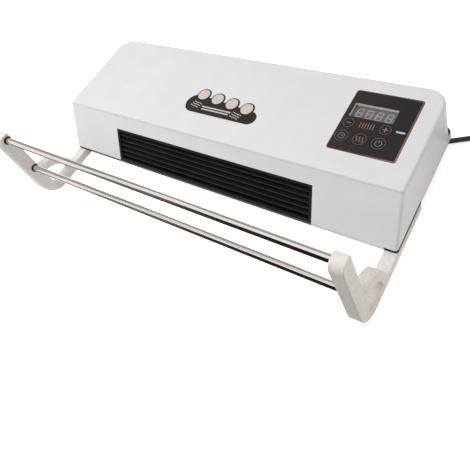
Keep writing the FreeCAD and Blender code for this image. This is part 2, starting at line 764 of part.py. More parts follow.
def fan_wheel():
    """Tangential fan wheel: curved blades between end discs, with rings that stiffen them."""
    inner = fan_r - fan_blade_depth
    tip_r = fan_r - fan_tip_inset
    step = 360.0 / fan_blades

    def at(r, degrees, x):
        a = math.radians(degrees)
        return V(x, fan_y + r * math.cos(a), fan_z + r * math.sin(a))

    pieces = []
    middle = (inner + fan_r) / 2.0
    for index in range(fan_blades):
        a = index * step
        b = a + blade_spread
        back = Part.Arc(at(inner, a, fan_left), at(middle, a + blade_lean / 4.0, fan_left),
                        at(tip_r, a + blade_lean, fan_left))
        tip = Part.LineSegment(at(tip_r, a + blade_lean, fan_left), at(tip_r, b + blade_lean, fan_left))
        front = Part.Arc(at(tip_r, b + blade_lean, fan_left), at(middle, b + blade_lean / 4.0, fan_left),
                         at(inner, b, fan_left))
        root = Part.LineSegment(at(inner, b, fan_left), at(inner, a, fan_left))
        face = Part.Face(Part.Wire([back.toShape(), tip.toShape(), front.toShape(), root.toShape()]))
        pieces.append(face.extrude(V(fan_right - fan_left, 0, 0)))
    discs = [rod_x(fan_left, fan_left + fan_disc_t, fan_y, fan_z, fan_r),
             rod_x(fan_right - fan_disc_t, fan_right, fan_y, fan_z, fan_r)]
    for index in range(fan_rings):
        x = fan_left + (index + 1) * (fan_right - fan_left) / (fan_rings + 1.0)
        ring = rod_x(x - fan_disc_t / 2.0, x + fan_disc_t / 2.0, fan_y, fan_z, fan_r)
        discs.append(ring.cut(rod_x(x - fan_disc_t, x + fan_disc_t, fan_y, fan_z, inner - 1.0)))
    hub = rod_x(fan_left, fan_left + fan_hub_length, fan_y, fan_z, fan_hub_r)
    stub = rod_x(fan_right - fan_disc_t, duct_right + bush_flange_t + 2.0, fan_y, fan_z, shaft_r)
    wheel = discs[0].multiFuse(discs[1:] + pieces + [hub, stub])
    return wheel.cut(rod_x(fan_left - 1.0, fan_left + fan_hub_length - fan_hub_floor, fan_y, fan_z, shaft_r))


def motor_shaft():
    """Shaft from the motor into the fan's hub; it turns with the fan."""
    return rod_x(motor_left() + motor_end, fan_left + fan_hub_length - fan_hub_floor, fan_y, fan_z, shaft_r)


def motor_left():
    """Outer end of the motor."""
    return duct_left - motor_plate - motor_length


def fan_motor():
    """Motor can with a round boss, bored for the shaft."""
    x1 = duct_left - motor_plate
    can = rod_x(motor_left(), x1, fan_y, fan_z, motor_r)
    end_edge = edges_where(can, lambda m, e: abs(m.x - motor_left()) < 1e-6 and e.Length > motor_r)
    can = can.makeFillet(motor_edge_r, end_edge)
    return can.cut(rod_x(motor_left() + motor_end, x1 + 1.0, fan_y, fan_z, shaft_r + shaft_fit))


def motor_feet():
    """Screw places of the motor plate's foot."""
    x = duct_left - motor_plate - motor_foot / 2.0
    reach = motor_r - motor_foot / 2.0
    return [(x, fan_y - reach), (x, fan_y + reach)]


def motor_bracket():
    """Bent steel plate: upright face behind the motor, foot on the rear cover."""
    x1 = duct_left
    x0 = x1 - motor_plate
    upright = box(x0, x1, fan_y - motor_r, fan_y + motor_r, plate_z, fan_z + motor_r)
    foot = box(x0 - motor_foot, x1, fan_y - motor_r, fan_y + motor_r, plate_z, plate_z + motor_plate)
    solid = join([upright, foot])
    cuts = [rod_x(x0 - 1.0, x1 + 1.0, fan_y, fan_z, shaft_r + shaft_room)]
    cuts += [rod_z(x, y, plate_z - 1.0, plate_z + motor_plate + 1.0, screw_r + seat_gap)
             for x, y in motor_feet()]
    return solid.cut(cuts)


def fan_bearing():
    """Flanged bush in the duct's end plate that carries the fan's stub shaft."""
    x0 = duct_right - duct_plate
    x1 = duct_right + bush_flange_t
    bush = join([rod_x(x0 - (bush_length - duct_plate - bush_flange_t), x1, fan_y, fan_z, bush_outer_r),
                 rod_x(duct_right, x1, fan_y, fan_z, bush_flange_r)])
    return bush.cut(rod_x(x0 - bush_length, x1 + 1.0, fan_y, fan_z, shaft_r + shaft_fit))


def duct_feet():
    """Screw places of the duct's four feet, inside its end plates."""
    reach = duct_plate + duct_foot / 2.0
    return [(x, fan_y + dy) for x in (duct_left + reach, duct_right - reach)
            for dy in (fan_r + duct_foot_above, -fan_r - duct_foot_below)]


def air_duct():
    """Fan housing: curved volute wall, floor with its tongue, and two end plates with feet."""
    start_r = fan_r + volute_gap_start
    end_r = fan_r + volute_gap_end

    def at(r, degrees):
        a = math.radians(degrees)
        return V(duct_left, fan_y + r * math.cos(a), fan_z + r * math.sin(a))

    lip_z = face_z - outlet_start * math.cos(slant)
    lip_y = outlet_y(lip_z, shell_wall + grille_depth * 0.35)
    lip = V(duct_left, lip_y, lip_z - 1.0)
    lip_out = lip + V(0, 0, duct_wall)
    middle_r = (start_r + end_r) / 2.0
    half_way = (volute_start + volute_end) / 2.0
    inside = [at(start_r, volute_start), at(middle_r, half_way), at(end_r, volute_end)]
    outside = [at(end_r + duct_wall, volute_end), at(middle_r + duct_wall, half_way),
               at(start_r + duct_wall, volute_start)]
    edges = [Part.Arc(*inside),
             Part.LineSegment(inside[-1], lip),
             Part.LineSegment(lip, lip_out),
             Part.LineSegment(lip_out, outside[0]),
             Part.Arc(*outside),
             Part.LineSegment(outside[-1], inside[0])]
    length = V(duct_right - duct_left, 0, 0)
    volute = Part.Face(Part.Wire([e.toShape() for e in edges])).extrude(length)
    floor_z = plate_z + duct_floor_gap
    tongue = at(fan_r + tongue_gap, tongue_at)
    mouth_y = outlet_y(floor_z, shell_wall + grille_depth) + 2.0
    floor = profile_x([(mouth_y, floor_z), (tongue.y - tongue_run, floor_z), (tongue.y, tongue.z),
                       (tongue.y - duct_wall, tongue.z + duct_wall * 0.6),
                       (tongue.y - tongue_run - duct_wall, floor_z + duct_wall),
                       (mouth_y, floor_z + duct_wall)],
                      duct_left, duct_right)
    far_y = fan_y + fan_r + volute_gap_start + duct_wall
    plate_top = face_z - panel_pad - seat_gap
    low_y = outlet_y(plate_z, shell_wall + grille_depth) + duct_back_gap
    high_y = outlet_y(plate_top, shell_wall + grille_depth) + duct_back_gap
    outline = [(low_y, plate_z), (far_y, plate_z), (far_y, fan_z), (fan_y + fan_r * 0.4, plate_top),
               (high_y, plate_top)]
    pieces = [volute, floor]
    for x in (duct_left, duct_right - duct_plate):
        pieces.append(profile_x(outline, x, x + duct_plate))
    for x, y in duct_feet():
        side = 1.0 if x < (duct_left + duct_right) / 2.0 else -1.0
        half = duct_foot / 2.0
        x0 = duct_left + duct_plate / 2.0 if side > 0 else x - half
        x1 = x + half if side > 0 else duct_right - duct_plate / 2.0
        pieces.append(box(x0, x1, y - half, y + half, plate_z, plate_z + duct_wall))
    solid = join(pieces)
    cuts = [rod_x(duct_left - 1.0, duct_left + duct_plate + 1.0, fan_y, fan_z, fan_hub_r + shaft_room),
            rod_x(duct_right - duct_plate - 1.0, duct_right + 1.0, fan_y, fan_z, bush_outer_r)]
    cuts += [rod_z(x, y, plate_z - 1.0, plate_z + duct_wall + 1.0, screw_r + seat_gap) for x, y in duct_feet()]
    return solid.cut(cuts)


pack_left = duct_left + duct_plate
pack_right = duct_right - duct_plate
fin_height = (pack_height - (fin_rows - 1) * heater_bar) / fin_rows


def pack_block(y0, y1, x0, x1, grow):
    """A block of the heater pack, drawn on the outlet face's plane."""
    return box(x0, x1, -pack_centre_down + y0, -pack_centre_down + y1,
               -pack_depth - pack_thick / 2.0 - grow, -pack_depth + pack_thick / 2.0 + grow)


def heater_bars():
    """Two flat heating bars between the fins."""
    first = -pack_height / 2.0 + fin_height
    bars = []
    for index in range(fin_rows - 1):
        y0 = first + index * (heater_bar + fin_height)
        bars.append(on_slope(pack_block(y0, y0 + heater_bar, pack_left + cap_length / 2.0,
                                        pack_right - cap_length / 2.0, -bar_inset)))
    return Part.makeCompound(bars)


def heater_fins():
    """Three rows of folded aluminium fin, each one bent strip."""
    rows = []
    x0 = pack_left + cap_length + fin_end_gap
    count = int((pack_right - cap_length - fin_end_gap - x0) / (fin_pitch / 2.0))
    for index in range(fin_rows):
        low = -pack_centre_down - pack_height / 2.0 + index * (heater_bar + fin_height)
        rise = fin_height - fin_sheet
        under = [V(x0 + i * fin_pitch / 2.0, low + (rise if i % 2 else 0.0), -pack_depth - pack_thick / 2.0)
                 for i in range(count + 1)]
        over = [p + V(0, fin_sheet, 0) for p in reversed(under)]
        strip = Part.Face(Part.makePolygon(under + over + under[:1])).extrude(V(0, 0, pack_thick))
        rows.append(on_slope(strip))
    return Part.makeCompound(rows)


def heater_caps():
    """End caps that hold the heater pack between the duct's end plates."""
    first = -pack_height / 2.0 + fin_height
    caps = []
    for x0, x1 in ((pack_left, pack_left + cap_length), (pack_right - cap_length, pack_right)):
        half = pack_height / 2.0 + cap_rim
        cap = pack_block(-half, half, x0, x1, cap_rim)
        for index in range(fin_rows - 1):
            y0 = first + index * (heater_bar + fin_height)
            cap = cap.cut(pack_block(y0, y0 + heater_bar, pack_left + cap_length / 2.0,
                                     pack_right - cap_length / 2.0, -bar_inset))
        caps.append(on_slope(cap))
    return Part.makeCompound(caps)


def thermal_cutout():
    """Round thermal cut-out on the left end cap."""
    y = -pack_centre_down + pack_height / 2.0 + cap_rim
    centre = V(pack_left + cap_length / 2.0, y, -pack_depth)
    button = Part.makeCylinder(cap_length / 2.0, cutout_t, centre, V(0, 1, 0))
    base = box(pack_left, pack_left + cap_length, y, y + cutout_base_t, -pack_depth - cutout_r,
               -pack_depth + cutout_r)
    return on_slope(join([base, button]))


def power_board():
    """Power board on posts of the rear cover, beside the duct."""
    y = front_low_y + power_up
    sheet = box(power_x - power_w / 2.0, power_x + power_w / 2.0, y - power_h / 2.0, y + power_h / 2.0,
                power_z, power_z + board_t)
    return sheet.cut([rod_z(px, py, power_z - 1.0, power_z + board_t + 1.0, screw_r) for px, py in power_posts])


def relays():
    """Two relays on the power board."""
    w, h, t = relay_size
    z = power_z + board_t
    y = front_low_y + power_up - power_h / 2.0 + power_edge
    return Part.makeCompound([box(x - w / 2.0, x + w / 2.0, y, y + h, z, z + t)
                              for x in (power_x - (w + relay_gap) / 2.0, power_x + (w + relay_gap) / 2.0)])


def terminal_block():
    """Terminal block with its row of wire entries."""
    w, h, t = terminal_size
    z = power_z + board_t
    y = front_low_y + power_up + power_h / 2.0 - h - power_edge
    block = box(power_x - w / 2.0, power_x + w / 2.0, y, y + h, z, z + t)
    cuts = []
    for index in range(terminal_ways):
        x = power_x + (index - (terminal_ways - 1) / 2.0) * w / terminal_ways
        cuts.append(Part.makeCylinder(terminal_entry_r, h * 0.7, V(x, y - 1.0, z + t * 0.4), V(0, 1, 0)))
        cuts.append(rod_z(x, y + h * 0.55, z + t - terminal_screw_depth, z + t + 1.0, terminal_screw_r))
    return block.cut(cuts)


def screw_group(places, z_seat, bite, up):
    """Identical small screws."""
    return Part.makeCompound([screw(x, y, z_seat, bite, screw_r, screw_head_r, screw_head_t, up)
                              for x, y in places])


def bracket_screw_group():
    """Screws from the wall side through each bracket arm into the rear cover."""
    return Part.makeCompound([screw(x, y, bracket_screw_sink, arm_thickness - bracket_screw_sink + screw_bite,
                                    bracket_screw_r, bracket_screw_head_r, screw_head_t, True)
                              for x, y in bracket_screws])


gland_end = gland_start + heading * gland_length


def cord_gland():
    """Tapered strain relief from the hood towards the upper right corner, ribbed by grooves."""
    root = Part.makeCylinder(gland_root_r, hood_length, gland_start - heading * hood_length, heading)
    taper = Part.makeCone(gland_root_r, gland_tip_r, gland_length, gland_start, heading)
    grooves = []
    for index in range(groove_count):
        at = gland_start + heading * (groove_first + groove_pitch * index)
        ring = Part.makeCylinder(gland_root_r + 1.0, groove_w, at, heading)
        core = Part.makeCylinder(cord_r + groove_wall, groove_w + 2.0, at - heading, heading)
        grooves.append(ring.cut(core))
    return root.fuse(taper).removeSplitter().cut(grooves)


def tube_along(points, r, start_way):
    """Round tube along straight runs joined by tangent arcs; prints the radii of the arcs."""
    edges = []
    last = points[0]
    for index in range(1, len(points) - 1):
        before = points[index] - points[index - 1]
        after = points[index + 1] - points[index]
        turn = before.getAngle(after)
        shorter = min(before.Length, after.Length)
        setback = 0.45 * shorter
        radius = setback / math.tan(turn / 2.0)
        print("lead arc %d: turn %.1f degrees, radius %.0f mm" % (index, math.degrees(turn), radius))
        a = points[index] - before.normalize() * setback
        b = points[index] + after.normalize() * setback
        chord = (a + b) * 0.5
        apex = points[index] - chord
        half = (b - a).Length / 2.0
        rise = radius - math.sqrt(radius * radius - half * half)
        edges.append(Part.LineSegment(last, a).toShape())
        edges.append(Part.Arc(a, chord + apex.normalize() * rise, b).toShape())
        last = b
    edges.append(Part.LineSegment(last, points[-1]).toShape())
    path = Part.Wire(edges)
    ring = Part.Wire([Part.Circle(points[0], start_way, r).toShape()])
    tube = path.makePipeShell([ring], True, False)
    print("lead volume %.0f, section times length %.0f" % (tube.Volume, math.pi * r * r * path.Length))
    return tube, path.Length


lead_points = [gland_end] + [V(half_length + x, y, z) for x, y, z in lead_route]
coil_start = lead_points[-1]
coil_way = lead_points[-1] - lead_points[-2]
coil_way.normalize()


def coil_line():
    """Centre line of the put-away length: in along the floor, up a layer, and out again."""
    total = coil_turns * 2.0 * math.pi
    climb = math.pi
    leg = (total - climb) / 2.0
    fall = coil_pitch / (2.0 * math.pi)
    outer_r = coil_inner_r + fall * leg
    flat = V(coil_way.x, coil_way.y, 0.0)
    flat.normalize()
    side = V(flat.y, -flat.x, 0.0)
    begin = coil_start + coil_way * cord_d
    centre = begin + side * outer_r
    first = math.atan2(-side.y, -side.x)

    def radius(turned):
        if turned <= leg:
            return outer_r - fall * turned
        if turned >= leg + climb:
            return coil_inner_r + fall * (turned - leg - climb)
        u = (turned - leg) / climb
        return coil_inner_r - fall * climb * u * (1.0 - u)

    def height(turned):
        u = min(max((turned - leg) / climb, 0.0), 1.0)
        return begin.z + coil_layer * u * u * (3.0 - 2.0 * u)

    def point(turned):
        a = first - turned
        r = radius(turned)
        return V(centre.x + r * math.cos(a), centre.y + r * math.sin(a), height(turned))

    def way(turned):
        d = 1e-4
        t = point(min(turned + d, total)) - point(max(turned - d, 0.0))
        return t.normalize()

    return point, way, total, centre


def biarc(p0, t0, p1, t1):
    """Two tangent arcs from a point and direction to another."""
    v = p1 - p0
    a = 2.0 * (1.0 - t0.dot(t1))
    b = 2.0 * v.dot(t0 + t1)
    c = -v.dot(v)
    d = (-b + math.sqrt(b * b - 4.0 * a * c)) / (2.0 * a) if a > 1e-9 else -c / b
    q0 = p0 + t0 * d
    q1 = p1 - t1 * d
    joint = (q0 + q1) * 0.5

    def arc(start, apex, end):
        middle = (start + end) * 0.5
        up = apex - middle
        half = (end - start).Length / 2.0
        leg = math.hypot(half, up.Length)
        r = half * leg / up.Length
        rise = r - math.sqrt(r * r - half * half)
        return Part.Arc(start, middle + up.normalize() * rise, end).toShape()

    return [arc(p0, q0, joint), arc(joint, q1, p1)]


def cord_coil():
    """Put-away length of the lead: one unbroken tube in two layers, with a straight end each side."""
    point, way, total = coil_line()[:3]
    quarters = int(round(total / (math.pi / 2.0)))
    step = total / quarters
    begin = coil_start + coil_way * cord_d
    edges = [Part.LineSegment(coil_start, begin).toShape()]
    for index in range(quarters):
        a = index * step
        b = a + step
        start_way = coil_way if index == 0 else way(a)
        end_way = way(b)
        edges += biarc(point(a), start_way, point(b), end_way)
    last = point(total)
    out = way(total)
    tail = last + out * coil_tail
    edges.append(Part.LineSegment(last, tail).toShape())
    path = Part.Wire(edges)
    ring = Part.Wire([Part.Circle(coil_start, coil_way, cord_r).toShape()])
    tube = path.makePipeShell([ring], True, False)
    count = 900
    samples = [point(total * i / count) for i in range(count + 1)]
    far = int(count * math.pi / total)
    least = min((samples[i] - samples[j]).Length
                for i in range(0, count + 1, 2) for j in range(i + far, count + 1))
    print("coil least gap to itself %.2f mm" % (least - cord_d))
    print("coil volume %.0f, section times length %.0f" % (tube.Volume, math.pi * cord_r ** 2 * path.Length))
    print("coil length %.0f mm" % path.Length)
    return tube, path.Length, tail, out


def cord_tie():
    """Strap round the coil's turns, on the side away from the heater."""
    point, way, total, centre = coil_line()
    outer_r = (point(0.0) - V(centre.x, centre.y, point(0.0).z)).Length
    low = coil_start.z - cord_r
    high = low + coil_layer + cord_d
    x0 = coil_inner_r - coil_pitch / 2.0 - cord_r - seat_gap
    x1 = outer_r + cord_r + seat_gap
    ring = Part.makeBox(x1 - x0 + 2.0 * tie_t, tie_w, high - low + 2.0 * tie_t + seat_gap,
                        V(x0 - tie_t, -tie_w / 2.0, low - tie_t))
    hole = Part.makeBox(x1 - x0, tie_w + 2.0, high - low + seat_gap, V(x0, -tie_w / 2.0 - 1.0, low))
    strap = ring.cut(hole)
    strap.Placement = FreeCAD.Placement(V(centre.x, centre.y, 0.0), FreeCAD.Rotation(V(0, 0, 1), tie_angle))
    return strap


def plug_frame(start, out):
    """Placement with x along the plug, z up."""
    turn = math.degrees(math.atan2(out.y, out.x))
    return FreeCAD.Placement(start, FreeCAD.Rotation(V(0, 0, 1), turn))


def plug_body(start, out):
    """Two-pin plug lying beside the coil: tapered relief and a body with soft edges."""
    height = 2.0 * start.z
    body = Part.makeBox(plug_length, plug_width, height, V(plug_relief, -plug_width / 2.0, -height / 2.0))
    body = body.makeFillet(plug_corner_r, edges_where(body, lambda m, e: abs(e.Length - plug_length) < 1e-6))
    relief = Part.makeCone(cord_r + relief_wall_cord, cord_r + relief_wall_plug, plug_relief + 1.0,
                           V(0, 0, 0), V(1, 0, 0))
    solid = join([body, relief])
    solid.Placement = plug_frame(start, out)
    return solid


def plug_blades(start, out):
    """The plug's two flat blades, one above the other as it lies."""
    blades = []
    x0 = plug_relief + plug_length
    for side in (-1.0, 1.0):
        z = side * blade_spacing / 2.0
        blade = Part.makeBox(blade_length, blade_height, blade_t, V(x0, -blade_height / 2.0, z - blade_t / 2.0))
        blade.Placement = plug_frame(start, out)
        blades.append(blade)
    return Part.makeCompound(blades)


def main():
    lead, lead_length = tube_along(lead_points, cord_r, heading)
    coil, coil_length, plug_start, plug_way = cord_coil()
    print("lead and coil together %.0f mm" % (lead_length + coil_length))
    parts = {
        "front_shell": front_shell(),
        "rear_cover": rear_cover(),
        "outlet_grille": outlet_grille(),
        "control_overlay": control_overlay(),
        "led_display": led_display(),
        "indicator_lens": indicator_lens(),
        "control_board": control_board(),
        "tact_switches": tact_switches(),
        "badge_plate": badge_plate(),
        "badge_discs": badge_discs(),
        "bracket_left": bracket(-1.0),
        "bracket_right": bracket(1.0),
        "rod_bushes": rod_bushes(),
        "towel_rod_outer": towel_rod(outer_rod_z),
        "towel_rod_inner": towel_rod(inner_rod_z),
        "fan_wheel": fan_wheel(),
        "motor_shaft": motor_shaft(),
        "fan_motor": fan_motor(),
        "motor_bracket": motor_bracket(),
        "fan_bearing": fan_bearing(),
        "air_duct": air_duct(),
        "heater_bars": heater_bars(),
        "heater_fins": heater_fins(),
        "heater_caps": heater_caps(),
        "thermal_cutout": thermal_cutout(),
        "power_board": power_board(),
        "relays": relays(),
        "terminal_block": terminal_block(),
        "cover_screws": screw_group(cover_bosses, cover_z, cover_plate + screw_bite, True),
        "bracket_screws": bracket_screw_group(),
        "board_screws": screw_group(board_posts, board_top - board_t, board_t + screw_bite, True),
        "duct_screws": screw_group(duct_feet(), plate_z + duct_wall, duct_wall + cover_plate, False),
        "motor_screws": screw_group(motor_feet(), plate_z + motor_plate, motor_plate + cover_plate, False),
        "power_screws": screw_group(power_posts, power_z + board_t, board_t + screw_bite, False),
        "cord_gland": cord_gland(),
        "power_cord": lead,
        "cord_coil": coil,
        "cord_tie": cord_tie(),
        "plug_body": plug_body(plug_start, plug_way),
        "plug_blades": plug_blades(plug_start, plug_way),
    }
    for name in key_places:
        parts["key_" + name] = key(name)
    for name, shape in parts.items():
        shape.exportStep("parts/%s.step" % name)
        print(name, len(shape.Solids), "solid(s)", "valid" if shape.isValid() else "not valid",
              "volume %.0f" % shape.Volume)


main()
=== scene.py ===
# %% [markdown]
# # A wall fan heater with a towel rack
# The heater lies on its back: a white housing with a slanted black outlet, a dark control panel, and
# two steel rods on end brackets. The solids come from CAD as a fixed frame. Blender adds the printed
# marks, the mains lead and the finishes, so this lesson is mostly about materials and small flat pieces.

# %% Load the frame
import bpy
import bmesh
import math
from mathutils import Matrix, Vector


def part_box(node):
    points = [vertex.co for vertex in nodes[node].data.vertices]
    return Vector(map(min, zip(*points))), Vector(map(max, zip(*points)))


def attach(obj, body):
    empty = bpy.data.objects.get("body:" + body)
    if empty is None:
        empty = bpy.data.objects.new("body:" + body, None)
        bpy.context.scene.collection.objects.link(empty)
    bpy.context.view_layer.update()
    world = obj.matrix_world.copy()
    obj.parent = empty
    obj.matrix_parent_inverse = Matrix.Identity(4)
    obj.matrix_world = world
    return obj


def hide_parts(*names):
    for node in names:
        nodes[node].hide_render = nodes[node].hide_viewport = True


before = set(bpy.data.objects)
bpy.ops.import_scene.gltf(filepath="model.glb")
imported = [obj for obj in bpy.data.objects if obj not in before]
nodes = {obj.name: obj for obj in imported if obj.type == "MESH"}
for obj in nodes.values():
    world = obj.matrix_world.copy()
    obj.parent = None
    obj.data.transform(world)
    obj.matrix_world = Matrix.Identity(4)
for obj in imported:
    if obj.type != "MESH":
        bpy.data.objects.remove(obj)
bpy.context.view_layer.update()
MM = 0.001
print("CAD nodes:", len(nodes))

# %% [markdown]
# ## Camera
# The photograph was taken from the lower right with the camera rolled, and it is cropped off centre.
# A camera could be aimed at a target and nudged by eye. Here a place, three angles, a lens and a shift
# are given instead, because they were fitted to the housing's straight edges. The shift stands for the
# crop, so the vanishing points stay where the photograph has them.

# %% Camera
PHOTO_PIXELS = 470
FOCAL_PIXELS = 549.4
SENSOR_MM = 36.0
CROP_SHIFT_X = -0.0143
CROP_SHIFT_Y = -0.1545
camera_place = Vector((0.4025, -0.3771, 0.5275))
camera_elevation = math.radians(47.14)
camera_azimuth = math.radians(52.75)
camera_roll = math.radians(-27.83)

backward = Vector((math.sin(camera_azimuth) * math.cos(camera_elevation),
                   -math.cos(camera_azimuth) * math.cos(camera_elevation),
                   math.sin(camera_elevation)))
level_right = (-backward).cross(Vector((0, 0, 1))).normalized()
level_up = level_right.cross(-backward)
camera_right = math.cos(camera_roll) * level_right + math.sin(camera_roll) * level_up
camera_up = math.cos(camera_roll) * level_up - math.sin(camera_roll) * level_right

camera_data = bpy.data.cameras.new("photo_camera")
camera_data.sensor_width = SENSOR_MM
camera_data.lens = FOCAL_PIXELS * SENSOR_MM / PHOTO_PIXELS
camera_data.shift_x = CROP_SHIFT_X
camera_data.shift_y = CROP_SHIFT_Y
camera = bpy.data.objects.new("photo_camera", camera_data)
camera_turn = Matrix((camera_right, camera_up, backward)).transposed().to_4x4()
camera.matrix_world = Matrix.Translation(camera_place) @ camera_turn
bpy.context.collection.objects.link(camera)
bpy.context.scene.camera = camera
print("lens %.1f mm" % camera_data.lens)

# %% [markdown]
# ## Helpers for finishes
# Colours are written as sRGB hex, the way a colour picker shows them, and turned to linear light here.
# Nodes could be made and linked one line at a time. One function that adds any shader node is shorter:
# plain values are set on its sockets, and sockets of other nodes are linked to them.

# %% Colour and node helpers


def linear(code):
    """Linear colour of an sRGB hex code."""
    channels = [int(code[i:i + 2], 16) / 255.0 for i in (1, 3, 5)]
    return tuple(c / 12.92 if c <= 0.04045 else ((c + 0.055) / 1.055) ** 2.4 for c in channels) + (1.0,)


def add(tree, kind, inputs=None, **settings):
    """Adds a node, sets its settings, and sets or links its inputs."""
    node = tree.nodes.new(kind)
    for name, value in settings.items():
        setattr(node, name, value)
    for name, value in (inputs or {}).items():
        if isinstance(value, bpy.types.NodeSocket):
            tree.links.new(value, node.inputs[name])
        else:
            node.inputs[name].default_value = value
    return node


def per_size(millimetres):
    """Pattern scale for a feature of that real size on Object coordinates."""
    return 1.0 / (millimetres * MM)


def blank_material(name):
    """A material with an empty node tree."""
    material = bpy.data.materials.new(name)
    material.use_nodes = True
    material.node_tree.nodes.clear()
    return material, material.node_tree


def blend_tones(ramp, dark, light, low=0.3, high=0.7):
    """Runs a colour ramp from dark to light; noise lies mostly between 0.3 and 0.7."""
    for stop, position, code in zip(ramp.color_ramp.elements, (low, high), (dark, light)):
        stop.position = position
        stop.color = linear(code)


def dress(material, *names):
    """Gives CAD nodes a finish."""
    for name in names:
        for slot in nodes[name].material_slots:
            slot.material = material


print("white in linear light:", linear("#FFFFFF"))

# %% [markdown]
# ## Moulded plastics
# The housing is injection-moulded ABS. Its tool was spark-eroded, so the skin has a grain well under a
# millimetre, and the flow of the melt leaves very faint clouds of tone. One colour with one roughness
# would look like a toy. So noise on Object coordinates drives the tone, the gloss and a shallow bump,
# with its scale in millimetres. A grain this fine does not show at the render's size, so it is drawn
# a little coarser. The same recipe, with other colours, grain and gloss, serves every moulded piece.

# %% Moulded plastic recipe
PLASTIC_IOR = 1.53
PLASTIC_GLOSS_SPREAD = 0.05
GRAIN_DEPTH = 0.1


def moulded(name, light, dark, roughness, grain_mm, grain_height, cloud_mm=35.0, shine=0.5):
    """Plastic with faint clouds of tone, uneven gloss and a fine eroded grain."""
    material, tree = blank_material(name)
    place = add(tree, "ShaderNodeTexCoord")
    clouds = add(tree, "ShaderNodeTexNoise", {
        "Vector": place.outputs["Object"], "Scale": per_size(cloud_mm), "Detail": 3.0, "Roughness": 0.55})
    tone = add(tree, "ShaderNodeValToRGB", {"Fac": clouds.outputs["Fac"]})
    blend_tones(tone, dark, light)
    gloss = add(tree, "ShaderNodeMapRange", {
        "Value": clouds.outputs["Fac"], "To Min": roughness - PLASTIC_GLOSS_SPREAD,
        "To Max": roughness + PLASTIC_GLOSS_SPREAD})
    grain = add(tree, "ShaderNodeTexNoise", {
        "Vector": place.outputs["Object"], "Scale": per_size(grain_mm), "Detail": 2.0})
    bump = add(tree, "ShaderNodeBump", {
        "Height": grain.outputs["Fac"], "Strength": grain_height, "Distance": GRAIN_DEPTH * MM})
    surface = add(tree, "ShaderNodeBsdfPrincipled", {
        "Base Color": tone.outputs["Color"], "Roughness": gloss.outputs["Result"],
        "Normal": bump.outputs["Normal"], "IOR": PLASTIC_IOR, "Specular IOR Level": shine})
    add(tree, "ShaderNodeOutputMaterial", {"Surface": surface.outputs["BSDF"]})
    return material


print("grain up to", GRAIN_DEPTH, "mm deep")

# %% [markdown]
# The skin is drawn a shade darker in a narrow line along the edge between the front face and the outlet
# face. A thin strip of mesh could stand there, but it would flicker against the housing. A shade in the
# material is safer: the distance from that edge decides how dark it is.

# %% Dark line along the housing's edge
DARK_EDGE_Y = -105.5
DARK_EDGE_Z = 74.3
DARK_EDGE_WIDTH = 2.6
DARK_EDGE_FACTOR = 0.82
# Satin white ABS looks even and cool, with only a soft sheen where it turns to the light.
white_abs = moulded("white_abs_satin", "#E9E9EB", "#E5E5E7",
                    roughness=0.38, grain_mm=0.7, grain_height=0.15, shine=0.3)
tree = white_abs.node_tree
place = tree.nodes["Texture Coordinate"]
offset = add(tree, "ShaderNodeVectorMath", {
    0: place.outputs["Object"], 1: (0.0, DARK_EDGE_Y * MM, DARK_EDGE_Z * MM)}, operation="SUBTRACT")
across = add(tree, "ShaderNodeVectorMath", {
    0: offset.outputs["Vector"], 1: (0.0, 1.0, 1.0)}, operation="MULTIPLY")
away = add(tree, "ShaderNodeVectorMath", {0: across.outputs["Vector"]}, operation="LENGTH")
shade = add(tree, "ShaderNodeMapRange", {
    "Value": away.outputs["Value"], "From Max": DARK_EDGE_WIDTH * MM, "To Min": DARK_EDGE_FACTOR, "To Max": 1.0},
    interpolation_type="SMOOTHSTEP")
skin = add(tree, "ShaderNodeVectorMath", {
    0: tree.nodes["Color Ramp"].outputs["Color"], "Scale": shade.outputs["Result"]}, operation="SCALE")
tree.links.new(skin.outputs["Vector"], tree.nodes["Principled BSDF"].inputs["Base Color"])
dress(white_abs, "front_shell")
print("parting line", DARK_EDGE_WIDTH, "mm")

# %% [markdown]
# The other plastics that show are the brackets, the grille, the rods' sleeves, the panel with its keys,
# and the badge. One material with a colour for each piece could serve them all. Separate ones are used,
# because the real pieces also differ in gloss and grain.

# %% Moulded finishes that show
FILM_BLACK = "#29272B"
FILM_BROWN = "#372C2B"
# Coarsely eroded ABS gives the brackets a warm white with a fine speckle, dull as stone.
bracket_abs = moulded("warm_white_abs_grained", "#F6F1ED", "#E8E2DC",
                      roughness=0.5, grain_mm=1.4, grain_height=0.7, cloud_mm=3.5)
# Matt black ABS leaves only a grey line on each slat's edge.
black_abs = moulded("black_abs_matt", "#1A1A1B", "#121213",
                    roughness=0.55, grain_mm=0.9, grain_height=0.35, shine=0.25)
# Filled nylon is brown-black, with a soft sheen round the sleeves.
black_nylon = moulded("black_nylon_sleeve", "#4A3A32", "#3A2D27",
                      roughness=0.42, grain_mm=0.8, grain_height=0.2, shine=0.25)
# Printed film is nearly black and smooth, with a broad faint reflection.
charcoal_film = moulded("charcoal_printed_film", FILM_BROWN, FILM_BLACK,
                        roughness=0.34, grain_mm=0.5, grain_height=0.08, shine=0.2)
# The key caps have the film's black, a little duller.
charcoal_key = moulded("charcoal_key_cap", "#29272C", "#232126",
                       roughness=0.42, grain_mm=0.6, grain_height=0.15, shine=0.2)
# The printed badge is brown-black, and its lacquer is smoother than the housing.
badge_brown = moulded("brown_printed_badge", "#342D2B", "#2A2423",
                      roughness=0.3, grain_mm=0.8, grain_height=0.1, shine=0.2)
# Enamel makes the discs cream, with a clear small highlight.
badge_cream = moulded("cream_enamelled_disc", "#DDD3CB", "#CFC4BC",
                      roughness=0.28, grain_mm=1.2, grain_height=0.1, cloud_mm=5.0)
# The display's tinted face is a smooth mid grey.
display_grey = moulded("grey_display_face", "#787579", "#6A676D",
                       roughness=0.25, grain_mm=0.8, grain_height=0.05, cloud_mm=9.0, shine=0.3)
